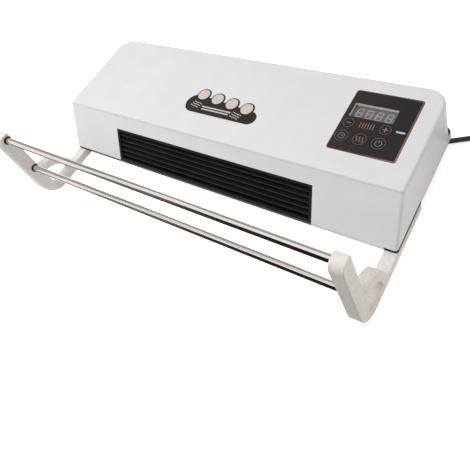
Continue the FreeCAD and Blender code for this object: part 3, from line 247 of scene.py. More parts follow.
# Milky polycarbonate stays a pale dash even with no light behind it.
milky_lens = moulded("milky_polycarbonate", "#D4D5D6", "#C9CACB",
                     roughness=0.25, grain_mm=0.8, grain_height=0.05, cloud_mm=4.0)
dress(bracket_abs, "bracket_left", "bracket_right")
dress(black_abs, "outlet_grille")
dress(black_nylon, "rod_bushes", "fan_wheel")
dress(charcoal_film, "control_overlay")
dress(charcoal_key, "key_timer", "key_mode", "key_power", "key_minus", "key_plus")
dress(badge_brown, "badge_plate")
dress(badge_cream, "badge_discs")
dress(display_grey, "led_display")
dress(milky_lens, "indicator_lens")
print("materials so far:", len(bpy.data.materials))

# %% [markdown]
# The duct, the boards, the switches and the relays lie inside, and the lead and its gland behind. They
# could stay in the frame's plain colours. They get finishes of the same recipe, so that the heater is
# whole when it is taken apart or seen from behind.

# %% Moulded finishes inside and on the lead
# Heat-proof moulding is a dull dark grey, so the outlet looks deep.
dark_heatproof = moulded("dark_heatproof_moulding", "#403F40", "#353435",
                         roughness=0.6, grain_mm=1.2, grain_height=0.4)
# Board laminate has a green satin face.
green_laminate = moulded("green_board_laminate", "#23623A", "#1B5130",
                         roughness=0.4, grain_mm=1.0, grain_height=0.2)
# Component bodies are black and dull.
component_black = moulded("black_component_body", "#1E1E20", "#161618",
                          roughness=0.5, grain_mm=0.8, grain_height=0.2)
# The terminal housing is a satin blue.
terminal_blue = moulded("blue_terminal_housing", "#2B5C86", "#244F74",
                        roughness=0.45, grain_mm=0.8, grain_height=0.2)
# Soft PVC is black, with a slow grain and a dull shine along the lead.
cord_sheath = moulded("black_pvc_sheath", "#222222", "#191919",
                      roughness=0.45, grain_mm=1.5, grain_height=0.25, cloud_mm=20.0)
dress(dark_heatproof, "air_duct", "heater_caps")
dress(green_laminate, "control_board", "power_board")
dress(component_black, "tact_switches", "relays")
dress(terminal_blue, "terminal_block")
dress(cord_sheath, "cord_gland")
print("materials so far:", len(bpy.data.materials))

# %% [markdown]
# The panel's film is a touch warmer towards its left end. A second film could lie there, but
# the change has no edge. So the position along X picks the tone, from brown-black at the left to
# neutral black at the right.

# %% Warm end of the panel's film
film_low, film_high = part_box("control_overlay")
tree = charcoal_film.node_tree
axes = add(tree, "ShaderNodeSeparateXYZ", {"Vector": tree.nodes["Texture Coordinate"].outputs["Object"]})
share = add(tree, "ShaderNodeMapRange", {
    "Value": axes.outputs["X"], "From Min": film_high.x, "From Max": film_low.x})
tree.links.new(share.outputs["Result"], tree.nodes["Color Ramp"].inputs["Fac"])
blend_tones(tree.nodes["Color Ramp"], FILM_BLACK, FILM_BROWN, low=0.25, high=0.95)
print("film", round((film_high.x - film_low.x) / MM, 1), "mm long")

# %% [markdown]
# The rear cover is the same black moulding as the grille, but the housing's white runs over its rim
# where neither the grille nor a bracket arm is beside it. The black kept beside the arms is painted
# shade:
# the shadow in the gap between the housing and the arms. The black is widest at the left end and
# shrinks to nothing at the right. The rim could be cut into a black and a white piece, but it is one
# moulding. So the place on the cover picks the tone: its height, and its distance from the ends and
# the front.

# %% Rim of the rear cover
RIM_DEPTH = 5.0
LEFT_LINE = 9.0
RIGHT_LINE = -0.3
RIM_SKIN = 2.0
GRILLE_LIP = 3.0
RIM_WHITE = "#E7E7E9"
shell_low, shell_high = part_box("front_shell")
grille_low, grille_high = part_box("outlet_grille")
arm_low, arm_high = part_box("bracket_right")
rim_foot = shell_low.z - RIM_DEPTH * MM
# Matt black ABS draws a thin dark foot line; beside the arms its black is painted shade of the gap.
cover_rim_gap_shade = moulded("black_abs_white_rim_gap_shade", "#1A1A1B", "#121213",
                    roughness=0.55, grain_mm=0.9, grain_height=0.35, shine=0.25)
tree = cover_rim_gap_shade.node_tree
axes = add(tree, "ShaderNodeSeparateXYZ", {"Vector": tree.nodes["Texture Coordinate"].outputs["Object"]})
from_middle = add(tree, "ShaderNodeMath", {0: axes.outputs["X"]}, operation="ABSOLUTE")
line_top = add(tree, "ShaderNodeMapRange", {
    "Value": axes.outputs["X"], "From Min": shell_low.x, "From Max": shell_high.x,
    "To Min": rim_foot + LEFT_LINE * MM, "To Max": rim_foot + RIGHT_LINE * MM})
above_line = add(tree, "ShaderNodeMath", {
    0: axes.outputs["Z"], 1: line_top.outputs["Result"]}, operation="GREATER_THAN")
at_end = add(tree, "ShaderNodeMath", {
    0: from_middle.outputs["Value"], 1: shell_high.x - RIM_SKIN * MM}, operation="GREATER_THAN")
# Painted shade: beside the bracket arms the rim stays black, as the shadow of the gap there.
past_arm = add(tree, "ShaderNodeMath", {0: axes.outputs["Y"], 1: arm_high.y}, operation="GREATER_THAN")
end_wall = add(tree, "ShaderNodeMath", {
    0: at_end.outputs["Value"], 1: past_arm.outputs["Value"]}, operation="MULTIPLY")
at_front = add(tree, "ShaderNodeMath", {
    0: axes.outputs["Y"], 1: shell_low.y + RIM_SKIN * MM}, operation="LESS_THAN")
between_arms = add(tree, "ShaderNodeMath", {
    0: from_middle.outputs["Value"], 1: arm_low.x}, operation="LESS_THAN")
front_wall = add(tree, "ShaderNodeMath", {
    0: at_front.outputs["Value"], 1: between_arms.outputs["Value"]}, operation="MULTIPLY")
grille_middle = (grille_low.x + grille_high.x) / 2.0
grille_half = (grille_high.x - grille_low.x) / 2.0
under_grille = add(tree, "ShaderNodeMath", {
    0: axes.outputs["X"], 1: grille_middle, 2: grille_half - GRILLE_LIP * MM}, operation="COMPARE")
beside_grille = add(tree, "ShaderNodeMath", {
    0: front_wall.outputs["Value"], 1: under_grille.outputs["Value"]},
    operation="SUBTRACT", use_clamp=True)
outer_wall = add(tree, "ShaderNodeMath", {
    0: end_wall.outputs["Value"], 1: beside_grille.outputs["Value"]}, operation="MAXIMUM")
whitened = add(tree, "ShaderNodeMath", {
    0: outer_wall.outputs["Value"], 1: above_line.outputs["Value"]}, operation="MULTIPLY")
# A Mix node keeps its colours at inputs 6 and 7, and their blend at output 2.
tone = add(tree, "ShaderNodeMix", {
    0: whitened.outputs["Value"], 6: tree.nodes["Color Ramp"].outputs["Color"],
    7: linear(RIM_WHITE)}, data_type="RGBA")
tree.links.new(tone.outputs[2], tree.nodes["Principled BSDF"].inputs["Base Color"])
dress(cover_rim_gap_shade, "rear_cover")
print("rim foot at z", round(rim_foot / MM, 1), "mm")

# %% [markdown]
# ## Metals
# The rods are drawn stainless steel, polished along their length. An anisotropic shader could stretch
# their gloss, but a noise stretched along X also gives the streaks themselves. Real polishing lines are
# finer than a pixel, so they are drawn 0.8 mm wide. The same recipe serves the small and hidden metals.

# %% Metal recipe
METAL_GLOSS_SPREAD = 0.06
STREAK_STRENGTH = 0.1
STREAK_DEPTH = 0.05


def metal(name, light, dark, roughness, streak_mm, length_mm):
    """Metal with polishing streaks along X."""
    material, tree = blank_material(name)
    place = add(tree, "ShaderNodeTexCoord")
    streak_scale = (per_size(length_mm), per_size(streak_mm), per_size(streak_mm))
    stretch = add(tree, "ShaderNodeMapping", {"Vector": place.outputs["Object"], "Scale": streak_scale})
    streaks = add(tree, "ShaderNodeTexNoise", {
        "Vector": stretch.outputs["Vector"], "Scale": 1.0, "Detail": 4.0})
    tone = add(tree, "ShaderNodeValToRGB", {"Fac": streaks.outputs["Fac"]})
    blend_tones(tone, dark, light)
    gloss = add(tree, "ShaderNodeMapRange", {
        "Value": streaks.outputs["Fac"], "To Min": roughness - METAL_GLOSS_SPREAD,
        "To Max": roughness + METAL_GLOSS_SPREAD})
    bump = add(tree, "ShaderNodeBump", {
        "Height": streaks.outputs["Fac"], "Strength": STREAK_STRENGTH, "Distance": STREAK_DEPTH * MM})
    surface = add(tree, "ShaderNodeBsdfPrincipled", {
        "Base Color": tone.outputs["Color"], "Metallic": 1.0, "Roughness": gloss.outputs["Result"],
        "Normal": bump.outputs["Normal"]})
    add(tree, "ShaderNodeOutputMaterial", {"Surface": surface.outputs["BSDF"]})
    return material


print("streaks up to", STREAK_DEPTH, "mm deep")

# %% [markdown]
# The rods and the plug's blades show at once, the screws from behind, and the motor's sheet metal, the
# fins and the bush lie inside. One grey could serve them all, but own tones tell each from the others.

# %% Metal finishes of the CAD pieces
# Polished steel mirrors the studio: a light rod with a grey upper and a dark lower line.
stainless = metal("stainless_drawn_bar", "#ECE8E4", "#DDD9D5",
                  roughness=0.12, streak_mm=0.8, length_mm=40.0)
# Zinc on sheet is a soft mid grey.
plated_sheet = metal("zinc_plated_sheet", "#B4B5B8", "#A2A3A6",
                     roughness=0.38, streak_mm=2.0, length_mm=6.0)
# Zinc on screws is brighter, with no direction.
plated_screw = metal("zinc_plated_screw", "#B9B9BB", "#A6A6A8",
                     roughness=0.32, streak_mm=1.0, length_mm=1.0)
# Mill-finish aluminium is pale, with short rolling lines.
fin_aluminium = metal("mill_finish_aluminium", "#CDCED2", "#BDBEC2",
                      roughness=0.35, streak_mm=1.0, length_mm=8.0)
# Sintered bronze is dull and yellow.
bush_bronze = metal("sintered_bronze", "#A98650", "#967443",
                    roughness=0.45, streak_mm=0.8, length_mm=0.8)
# Nickel on brass is bright, with a warm tint.
blade_nickel = metal("nickel_plated_brass", "#CFCABC", "#BFB9A8",
                     roughness=0.22, streak_mm=0.6, length_mm=5.0)
dress(stainless, "towel_rod_outer", "towel_rod_inner", "motor_shaft")
dress(plated_sheet, "fan_motor", "motor_bracket", "thermal_cutout")
dress(plated_screw, "cover_screws", "bracket_screws", "board_screws", "duct_screws",
      "motor_screws", "power_screws")
dress(fin_aluminium, "heater_fins", "heater_bars")
dress(bush_bronze, "fan_bearing")
dress(blade_nickel, "plug_blades")
print("materials so far:", len(bpy.data.materials))

# %% [markdown]
# ## Flat printed marks
# The panel, the keys and the badge carry screen-printed marks. They could be drawn with text or image
# textures, but small meshes stay sharp at any size and ride on the keys. Three shapes are enough: a bar
# with round corners, a ring swept by a spin, and a wavy strip. They are stamped into one mesh per print.

# %% Shapes for prints
CORNER_STEPS = 4
WAVE_STEPS = 20
RING_STEP = 7.5
FULL_TURN = 360.0


def bar(width, height, corner=0.0):
    """A flat bar about the origin, with its corners rounded."""
    shape = bmesh.new()
    bmesh.ops.create_grid(shape, x_segments=1, y_segments=1, size=0.5)
    bmesh.ops.scale(shape, vec=(width, height, 1.0), verts=shape.verts)
    if corner:
        bmesh.ops.bevel(shape, geom=shape.verts[:], offset=corner, affect="VERTICES",
                        segments=CORNER_STEPS, profile=0.5, material=-1)
    return shape


def ring(inner, outer, start=0.0, sweep=FULL_TURN):
    """A flat ring about the origin, or a part of one, swept from a short radial edge."""
    shape = bmesh.new()
    angle = math.radians(start)
    ends = [shape.verts.new((r * math.cos(angle), r * math.sin(angle), 0.0)) for r in (inner, outer)]
    edge = shape.edges.new(ends)
    bmesh.ops.spin(shape, geom=ends + [edge], cent=(0, 0, 0), axis=(0, 0, 1), angle=math.radians(sweep),
                   steps=int(sweep / RING_STEP), use_merge=sweep == FULL_TURN)
    return shape


def wave(length, width, swing):
    """A flat strip along X that swings once up and once down."""
    shape = bmesh.new()
    bmesh.ops.create_grid(shape, x_segments=WAVE_STEPS, y_segments=1, size=0.5)
    bmesh.ops.scale(shape, vec=(length, width, 1.0), verts=shape.verts)
    for vert in shape.verts:
        vert.co.y += swing * math.sin(2.0 * math.pi * vert.co.x / length)
    return shape


def stamp(target, shape, x, y, turn=0.0):
    """Moves a shape to a place, turned by degrees, and puts it into a print."""
    place = Matrix.Translation((x, y, 0.0)) @ Matrix.Rotation(math.radians(turn), 4, "Z")
    bmesh.ops.transform(shape, matrix=place, verts=shape.verts)
    scrap = bpy.data.meshes.new("scrap")
    shape.to_mesh(scrap)
    shape.free()
    target.from_mesh(scrap)
    bpy.data.meshes.remove(scrap)


print("a full ring has", int(FULL_TURN / RING_STEP), "steps")

# %% [markdown]
# Ink stands only a few hundredths of a millimetre proud, so a flat print is extruded by that much. A
# Solidify modifier would do it too, but an extrude leaves a plain closed mesh. Each piece then goes to
# its place in metres and rides on a body, so that it follows the keys.

# %% Placing a finished piece
INK_HEIGHT = 0.06
SHARP_EDGE = 32.0


def centre_and_top(node):
    """Middle of a CAD node in x and y, and its highest z, in millimetres."""
    low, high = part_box(node)
    return (low.x + high.x) / 2.0 / MM, (low.y + high.y) / 2.0 / MM, high.z / MM


def settle(name, shape, material, body, smooth=False):
    """Turns a shape in millimetres into a piece of the object that rides on a body."""
    bmesh.ops.recalc_face_normals(shape, faces=shape.faces)
    bmesh.ops.scale(shape, vec=(MM, MM, MM), verts=shape.verts)
    for face in shape.faces:
        face.smooth = smooth
    mesh = bpy.data.meshes.new(name)
    shape.to_mesh(mesh)
    shape.free()
    if smooth:
        mesh.set_sharp_from_angle(angle=math.radians(SHARP_EDGE))
    mesh.materials.append(material)
    piece = bpy.data.objects.new(name, mesh)
    bpy.context.collection.objects.link(piece)
    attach(piece, body)
    return piece


def parts_of(step, kind):
    """The new verts or faces of an extrude step."""
    return [part for part in step["geom"] if isinstance(part, kind)]


def print_ink(name, shape, z, material, body):
    """Raises a flat print by the ink's height above a surface at z."""
    raised = bmesh.ops.extrude_face_region(shape, geom=shape.faces[:])
    upper = parts_of(raised, bmesh.types.BMVert)
    bmesh.ops.translate(shape, verts=upper, vec=(0.0, 0.0, INK_HEIGHT))
    bmesh.ops.translate(shape, verts=shape.verts, vec=(0.0, 0.0, z))
    return settle(name, shape, material, body)


print("ink height", INK_HEIGHT, "mm")

# %% [markdown]
# ## Inks
# Screen inks are nearly matt, with tiny unevenness where they went through the mesh. They could be plain
# colours, but the moulded recipe with a small grain already looks like dried ink. The panel's border is
# hot-stamped copper foil. Its glint is painted: the tone runs across the panel from brown at the left
# to lit copper at the right, where the foil catches the light.

# %% Inks and foil
FOIL_GLINT_TURN = -12.0
FOIL_METAL = 0.35
FOIL_SPECK = 0.8
FOIL_SMOOTH = 0.3
FOIL_DULL = 0.42
ink_skin = {"grain_mm": 0.6, "grain_height": 0.1, "cloud_mm": 3.0}
# Grey ink makes the symbols readable but quiet.
grey_ink = moulded("grey_screen_ink", "#8C7D77", "#776962", roughness=0.5, **ink_skin)
# Brown ink keeps the key rings just above the panel's black.
ring_ink = moulded("brown_screen_ink", "#6E6058", "#5A4D46", roughness=0.5, **ink_skin)
# Gold ink is a dull yellow with a little more gloss.
gold_ink = moulded("gold_screen_ink", "#8A724A", "#735E3D", roughness=0.45, **ink_skin)
# Pale ink stands out on the brown badge.
pale_ink = moulded("pale_screen_ink", "#D8D0CB", "#C6BDB8", roughness=0.5, **ink_skin)
# Unlit segments are a shade paler than the display's face.
segment_ink = moulded("pale_display_segment", "#ABA5AC", "#9D979E",
                      roughness=0.4, grain_mm=0.6, grain_height=0.05, cloud_mm=4.0)


def copper_foil_painted_glint(centre_x, centre_y, reach):
    """Stamped foil with a painted glint: brown at the left, lit copper at the right."""
    material, tree = blank_material("stamped_copper_foil_painted_glint")
    place = add(tree, "ShaderNodeTexCoord")
    slope = add(tree, "ShaderNodeMapping", {
        "Vector": place.outputs["Object"], "Location": (centre_x * MM, centre_y * MM, 0.0),
        "Rotation": (0.0, 0.0, math.radians(FOIL_GLINT_TURN)), "Scale": (reach * MM, reach * MM, 1.0)},
        vector_type="TEXTURE")
    painted_glint_run = add(tree, "ShaderNodeTexGradient", {"Vector": slope.outputs["Vector"]}, gradient_type="LINEAR")
    tone = add(tree, "ShaderNodeValToRGB", {"Fac": painted_glint_run.outputs["Fac"]})
    # Painted glint: the ramp runs from shaded brown to lit copper across the panel.
    blend_tones(tone, "#48362D", "#9A7762", low=0.05, high=0.75)
    specks = add(tree, "ShaderNodeTexNoise", {
        "Vector": place.outputs["Object"], "Scale": per_size(FOIL_SPECK)})
    gloss = add(tree, "ShaderNodeMapRange", {
        "Value": specks.outputs["Fac"], "To Min": FOIL_SMOOTH, "To Max": FOIL_DULL})
    surface = add(tree, "ShaderNodeBsdfPrincipled", {
        "Base Color": tone.outputs["Color"], "Metallic": FOIL_METAL,
        "Roughness": gloss.outputs["Result"]})
    add(tree, "ShaderNodeOutputMaterial", {"Surface": surface.outputs["BSDF"]})
    return material


print("materials so far:", len(bpy.data.materials))

# %% [markdown]
# ## Control panel
# A foil border follows the panel's edge, and a row of bars is printed between minus and plus. The border
# could be four strips, but its corners are round. So it is one rounded sheet, inset by the border's
# width, with the middle taken out.

# %% Panel border and level bars
BORDER_WIDTH = 1.8
PANEL_CORNER = 3.0
LEVEL_BARS = 6
LEVEL_PITCH = 3.0
panel_size = (film_high - film_low) / MM
panel_x, panel_y, panel_top = centre_and_top("control_overlay")

border = bar(panel_size.x, panel_size.y, PANEL_CORNER)
bmesh.ops.inset_region(border, faces=border.faces[:], thickness=BORDER_WIDTH, use_boundary=True,
                       use_even_offset=True)
middle = max(border.faces, key=lambda face: face.calc_area())
bmesh.ops.delete(border, geom=[middle], context="FACES_ONLY")
bmesh.ops.translate(border, verts=border.verts, vec=(panel_x, panel_y, 0.0))
# Stamped foil with a painted glint: lit copper at the right, brown at the left.
foil_painted_glint = copper_foil_painted_glint(panel_x, panel_y, panel_size.length / 2.0)
print_ink("panel_border", border, panel_top, foil_painted_glint, "heater")

level_x = centre_and_top("key_mode")[0]
level_y = centre_and_top("key_minus")[1]
levels = bmesh.new()
for index in range(LEVEL_BARS):
    bar_x = level_x + (index - (LEVEL_BARS - 1) / 2.0) * LEVEL_PITCH
    stamp(levels, bar(width=1.2, height=7.6, corner=0.2), bar_x, level_y)
print_ink("level_bars", levels, panel_top, gold_ink, "heater")
print("panel", [round(v, 1) for v in panel_size[:2]], "mm")

# %% [markdown]
# Each key has a ring near its rim and a common symbol: clock, heat waves, power, minus and plus. They
# could be text from a symbol font, but a font would be one more file. A few bars, rings and waves draw
# them, with no faces that overlap. Rings and symbols ride on the keys and go down with them.

# %% Key symbols


def clock_face(mark):
    """A clock with two hands that meet near its middle."""
    hand = 0.8
    long_hand = 3.0
    short_hand = 1.7
    below_middle = 0.6
    stamp(mark, ring(inner=3.2, outer=4.1), 0.0, 0.0)
    stamp(mark, bar(hand, long_hand), 0.0, long_hand / 2.0 - below_middle)
    stamp(mark, bar(short_hand, hand), (hand + short_hand) / 2.0, 0.0)


def heat_waves(mark):
    """Three rising waves."""
    gap = 3.4
    for x in (-gap, 0.0, gap):
        stamp(mark, wave(length=7.6, width=1.3, swing=0.9), x, 0.0, turn=90.0)


def power_sign(mark):
    """A ring open at the top, with a bar in the opening."""
    stamp(mark, ring(inner=3.2, outer=4.2, start=120.0, sweep=300.0), 0.0, 0.0)
    stamp(mark, bar(width=1.0, height=4.2, corner=0.3), 0.0, 2.6)


def minus_sign(mark):
    """A level bar."""
    stamp(mark, bar(width=5.8, height=1.3, corner=0.3), 0.0, 0.0)


def plus_sign(mark):
    """A cross of one long bar and two short ones, so that no faces overlap."""
    stroke = 1.4
    span = 6.4
    short_bar = (span - stroke) / 2.0
    stamp(mark, bar(span, stroke), 0.0, 0.0)
    for side in (-1.0, 1.0):
        stamp(mark, bar(stroke, short_bar), 0.0, side * (stroke + short_bar) / 2.0)


LARGE_KEY = 8.2
SMALL_KEY = 7.0
symbols = {"timer": (clock_face, grey_ink, LARGE_KEY), "mode": (heat_waves, gold_ink, LARGE_KEY),
           "power": (power_sign, grey_ink, LARGE_KEY), "minus": (minus_sign, grey_ink, SMALL_KEY),
           "plus": (plus_sign, grey_ink, SMALL_KEY)}
print("key symbols:", len(symbols))

# %% Key rings and symbols in place
RING_WIDTH = 0.8
RING_INSET = 0.5
for name, (draw, ink, cap_radius) in symbols.items():
    key_x, key_y, key_top = centre_and_top("key_" + name)
    rim = ring(cap_radius - RING_INSET - RING_WIDTH, cap_radius - RING_INSET)
    bmesh.ops.translate(rim, verts=rim.verts, vec=(key_x, key_y, 0.0))
    print_ink(name + "_key_ring", rim, key_top, ring_ink, name + "_key")
    mark = bmesh.new()
    draw(mark)
    bmesh.ops.translate(mark, verts=mark.verts, vec=(key_x, key_y, 0.0))
    print_ink(name + "_key_symbol", mark, key_top, ink, name + "_key")
    print(name, "key at", round(key_x, 1), round(key_y, 1))

# %% [markdown]
# ## Display
# The module's unlit digits show as pale segments on its grey face. A digit could be a text object, but
# seven bars with cut ends have the look of such a module. Four digits stand side by side, and one shear
# gives them all the slight lean.

# %% Digits
DIGIT_COUNT = 4
DIGIT_PITCH = 11.6
DIGIT_HEIGHT = 12.4
DIGIT_WIDTH = 7.4
DIGIT_LEAN = 0.09
SEGMENT_WIDTH = 1.3
SEGMENT_GAP = 0.4
SEGMENT_CUT = 0.4 * SEGMENT_WIDTH

display_x, display_y, display_top = centre_and_top("led_display")
digits = bmesh.new()
half_step = (DIGIT_HEIGHT - SEGMENT_WIDTH) / 2.0
side_step = (DIGIT_WIDTH - SEGMENT_WIDTH) / 2.0
for index in range(DIGIT_COUNT):
    digit_x = (index - (DIGIT_COUNT - 1) / 2.0) * DIGIT_PITCH
    for row in (-1, 0, 1):
        level_segment = bar(2.0 * side_step - SEGMENT_GAP, SEGMENT_WIDTH, SEGMENT_CUT)
        stamp(digits, level_segment, digit_x, row * half_step)
    for side in (-1, 1):
        for row in (-0.5, 0.5):
            upright_segment = bar(SEGMENT_WIDTH, half_step - SEGMENT_GAP, SEGMENT_CUT)
            stamp(digits, upright_segment, digit_x + side * side_step, row * half_step)
lean = Matrix.Shear("XZ", 4, (DIGIT_LEAN, 0.0))
bmesh.ops.transform(digits, matrix=lean, verts=digits.verts)
bmesh.ops.translate(digits, verts=digits.verts, vec=(display_x, display_y, 0.0))
print_ink("display_digits", digits, display_top, segment_ink, "heater")
print("digits:", DIGIT_COUNT)

# %% [markdown]
# ## Badge
# The badge on the front face carries three small waves at each side and two plain rules between them.
# The waves could be curves with a bevel, but flat strips lie on the badge like ink. They come from the
# same wave shape as the heat symbol.

# %% Badge marks
WAVE_LENGTH = 14.0
WAVE_WIDTH = 0.9
WAVE_SWING = 0.6
WAVE_PITCH = 3.2
WAVE_SLIP = 1.2
WAVE_TURN = -16.0
WAVE_PLACES = ((16.5, 12.4), (81.0, 8.2))
RULE_X = 49.5
RULE_HEIGHT = 2.0
RULE_CORNER = 0.4
RULE_PLACES = ((11.0, 45.0), (7.2, 42.0))
badge_low, badge_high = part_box("badge_plate")
badge_left = badge_low.x / MM
badge_floor = badge_low.y / MM
badge_top = badge_high.z / MM
badge_marks = bmesh.new()
for wave_x, wave_y in WAVE_PLACES:
    for row in (-1, 0, 1):
        stamp(badge_marks, wave(WAVE_LENGTH, WAVE_WIDTH, WAVE_SWING),
              badge_left + wave_x + row * WAVE_SLIP, badge_floor + wave_y + row * WAVE_PITCH, WAVE_TURN)
for rule_y, rule_length in RULE_PLACES:
    stamp(badge_marks, bar(rule_length, RULE_HEIGHT, RULE_CORNER),
          badge_left + RULE_X, badge_floor + rule_y)
print_ink("badge_marks", badge_marks, badge_top, pale_ink, "heater")
print("badge", [round(v / MM, 1) for v in (badge_high - badge_low)[:2]], "mm")

# %% [markdown]
# ## Mains lead
# A PVC-sheathed lead leaves the gland under the upper right corner, lies down on the floor and runs out
# of the picture. Its spare length is wound in two layers and tied. Tubes and arcs could be joined, but
# they look like bent wire. One NURBS spline is guided by the solids' own route points and bends as one
# smooth piece, and the coil's turns are more points of it.

# %% Lead route
CORD_DIAMETER = 6.0
COIL_PITCH = 6.6
COIL_LAYER = 6.5
COIL_INNER_RADIUS = 26.6
COIL_TURNS = 6.0 + 27.0 / 360.0
COIL_TAIL = 24.5
TAIL_STRAIGHT = 2.0
POINTS_PER_TURN = 16
SMALL_TURN = 1e-3
# The gland's end, and then the route points that the CAD source gives, in millimetres.
lead_route = [(236.84, 12.93, 5.0), (252.8, 21.2, 5.0), (280.0, 35.8, 3.9), (306.0, 49.0, 3.9)]

route_points = [Vector(p) for p in lead_route]
way_in = (route_points[-1] - route_points[-2]).normalized()
beside = Vector((way_in.y, -way_in.x, 0.0))
coil_begin = route_points[-1] + way_in * CORD_DIAMETER
whole_angle = COIL_TURNS * 2.0 * math.pi
layer_angle = (whole_angle - math.pi) / 2.0
fall = COIL_PITCH / (2.0 * math.pi)
coil_outer_radius = COIL_INNER_RADIUS + fall * layer_angle
coil_centre = coil_begin + beside * coil_outer_radius
first_angle = math.atan2(-beside.y, -beside.x)


def coil_point(turned, swell):
    """A point of the coil's line; swell makes up for the spline cutting inside its points."""
    share = min(max((turned - layer_angle) / math.pi, 0.0), 1.0)
    radius = coil_outer_radius - fall * min(turned, layer_angle) - fall * math.pi * share * (1.0 - share)
    radius += fall * max(turned - layer_angle - math.pi, 0.0)
    angle = first_angle - turned
    lift = COIL_LAYER * share * share * (3.0 - 2.0 * share)
    return Vector((coil_centre.x + swell * radius * math.cos(angle),
                   coil_centre.y + swell * radius * math.sin(angle), coil_begin.z + lift))


step_count = int(round(COIL_TURNS * POINTS_PER_TURN))
swell = 1.0 / math.cos(math.pi / POINTS_PER_TURN)
for index in range(step_count):
    route_points.append(coil_point((index + 0.5) * whole_angle / step_count, swell))
coil_end = coil_point(whole_angle, 1.0)
way_out = (coil_end - coil_point(whole_angle - SMALL_TURN, 1.0)).normalized()
lead_end = coil_end + way_out * COIL_TAIL
route_points += [coil_end + way_out * TAIL_STRAIGHT, lead_end]
print("lead points:", len(route_points))

# %% [markdown]
# The spline's order of 3 rounds the route's corners, and its end points are kept. Both are set after
# the points are there, because before that they would leave straight runs. A round bevel gives the
# curve the lead's thickness, which is simpler than a mesh tube.

# %% Lead spline
lead_curve = bpy.data.curves.new("mains_lead", "CURVE")
lead_curve.dimensions = "3D"
lead_spline = lead_curve.splines.new("NURBS")
lead_spline.points.add(len(route_points) - 1)
for point, place in zip(lead_spline.points, route_points):
    point.co = (place.x * MM, place.y * MM, place.z * MM, 1.0)
lead_spline.order_u = 3
lead_spline.use_endpoint_u = True
lead_spline.resolution_u = 6
lead_curve.bevel_depth = CORD_DIAMETER * MM / 2.0
lead_curve.bevel_resolution = 6
lead_curve.use_fill_caps = True
mains_lead = bpy.data.objects.new("mains_lead", lead_curve)
bpy.context.collection.objects.link(mains_lead)
lead_curve.materials.append(cord_sheath)
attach(mains_lead, "heater")
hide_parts("power_cord", "cord_coil")
print("spline order", lead_spline.order_u)

# %% [markdown]
# ## Tie and plug
# A soft woven strap goes round the coil's turns. It could be a bent ribbon curve, but a loop of edges is
# easier to fit: a rounded outline, drawn out to the strap's width and given its thickness.

# %% Tie strap
TIE_THICKNESS = 0.7
TIE_WIDTH = 8.0
TIE_ANGLE = -35.0
TIE_CORNER = 3.2
TIE_PLAY = 0.3
UPRIGHT = Matrix.Rotation(math.radians(90.0), 4, "X")
tie_inner = COIL_INNER_RADIUS - COIL_PITCH / 2.0 - CORD_DIAMETER / 2.0 - TIE_PLAY
tie_outer = coil_outer_radius + CORD_DIAMETER / 2.0 + TIE_PLAY
tie_low = coil_begin.z - CORD_DIAMETER / 2.0
tie_high = tie_low + COIL_LAYER + CORD_DIAMETER + TIE_PLAY
strap = bar(tie_outer - tie_inner + TIE_THICKNESS, tie_high - tie_low + TIE_THICKNESS, TIE_CORNER)
bmesh.ops.delete(strap, geom=strap.faces[:], context="FACES_ONLY")
drawn = bmesh.ops.extrude_edge_only(strap, edges=strap.edges[:])
far_verts = parts_of(drawn, bmesh.types.BMVert)
bmesh.ops.translate(strap, verts=far_verts, vec=(0.0, 0.0, TIE_WIDTH))
bmesh.ops.recalc_face_normals(strap, faces=strap.faces)
bmesh.ops.solidify(strap, geom=strap.faces[:], thickness=TIE_THICKNESS)
loop_middle = Matrix.Translation(((tie_inner + tie_outer) / 2.0, (tie_low + tie_high) / 2.0,
                                  -TIE_WIDTH / 2.0))
round_coil = (Matrix.Translation((coil_centre.x, coil_centre.y, 0.0))
              @ Matrix.Rotation(math.radians(TIE_ANGLE), 4, "Z"))
bmesh.ops.transform(strap, matrix=round_coil @ UPRIGHT @ loop_middle, verts=strap.verts)
# Woven nylon is dull and uneven; its threads are drawn coarser than the real ones.
tie_fabric = moulded("black_woven_strap", "#2A2A2B", "#1C1C1D",
                     roughness=0.8, grain_mm=0.7, grain_height=0.6, cloud_mm=2.0)
tie_strap = settle("tie_strap", strap, tie_fabric, "heater", smooth=True)
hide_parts("cord_tie")
print("tie", round(tie_outer - tie_inner, 1), "mm across")

# %% [markdown]
# The plug is moulded in one with its ribbed relief, of the lead's own PVC. Ribs could be rings set round
# a cone, but then faces would cross. Instead an outline is drawn along the lead's direction step by
# step, and each step is scaled a little. That gives the ribs, the grip's grooves and the soft end.

# %% Ribbed relief


def draw_along(shape, stations):
    """Draws a flat outline along Z through stations of (distance, scale)."""
    last_scale = 1.0
    last_at = 0.0
    front = shape.faces[:]
    inside = []
    for at, scale in stations:
        step = bmesh.ops.extrude_face_region(shape, geom=front)
        bmesh.ops.delete(shape, geom=inside, context="FACES_ONLY")
        front = parts_of(step, bmesh.types.BMFace)
        inside = front
        ring_verts = parts_of(step, bmesh.types.BMVert)
        bmesh.ops.translate(shape, verts=ring_verts, vec=(0.0, 0.0, at - last_at))
        bmesh.ops.scale(shape, vec=(scale / last_scale, scale / last_scale, 1.0), verts=ring_verts)
        last_at = at
        last_scale = scale
    return shape


PLUG_RELIEF = 20.0
RELIEF_START = 1.0
RELIEF_WALL = 0.6
RELIEF_SIDES = 32
RELIEF_RIBS = 5
FIRST_RIB = 1.05
RIB_GROWTH = 0.1
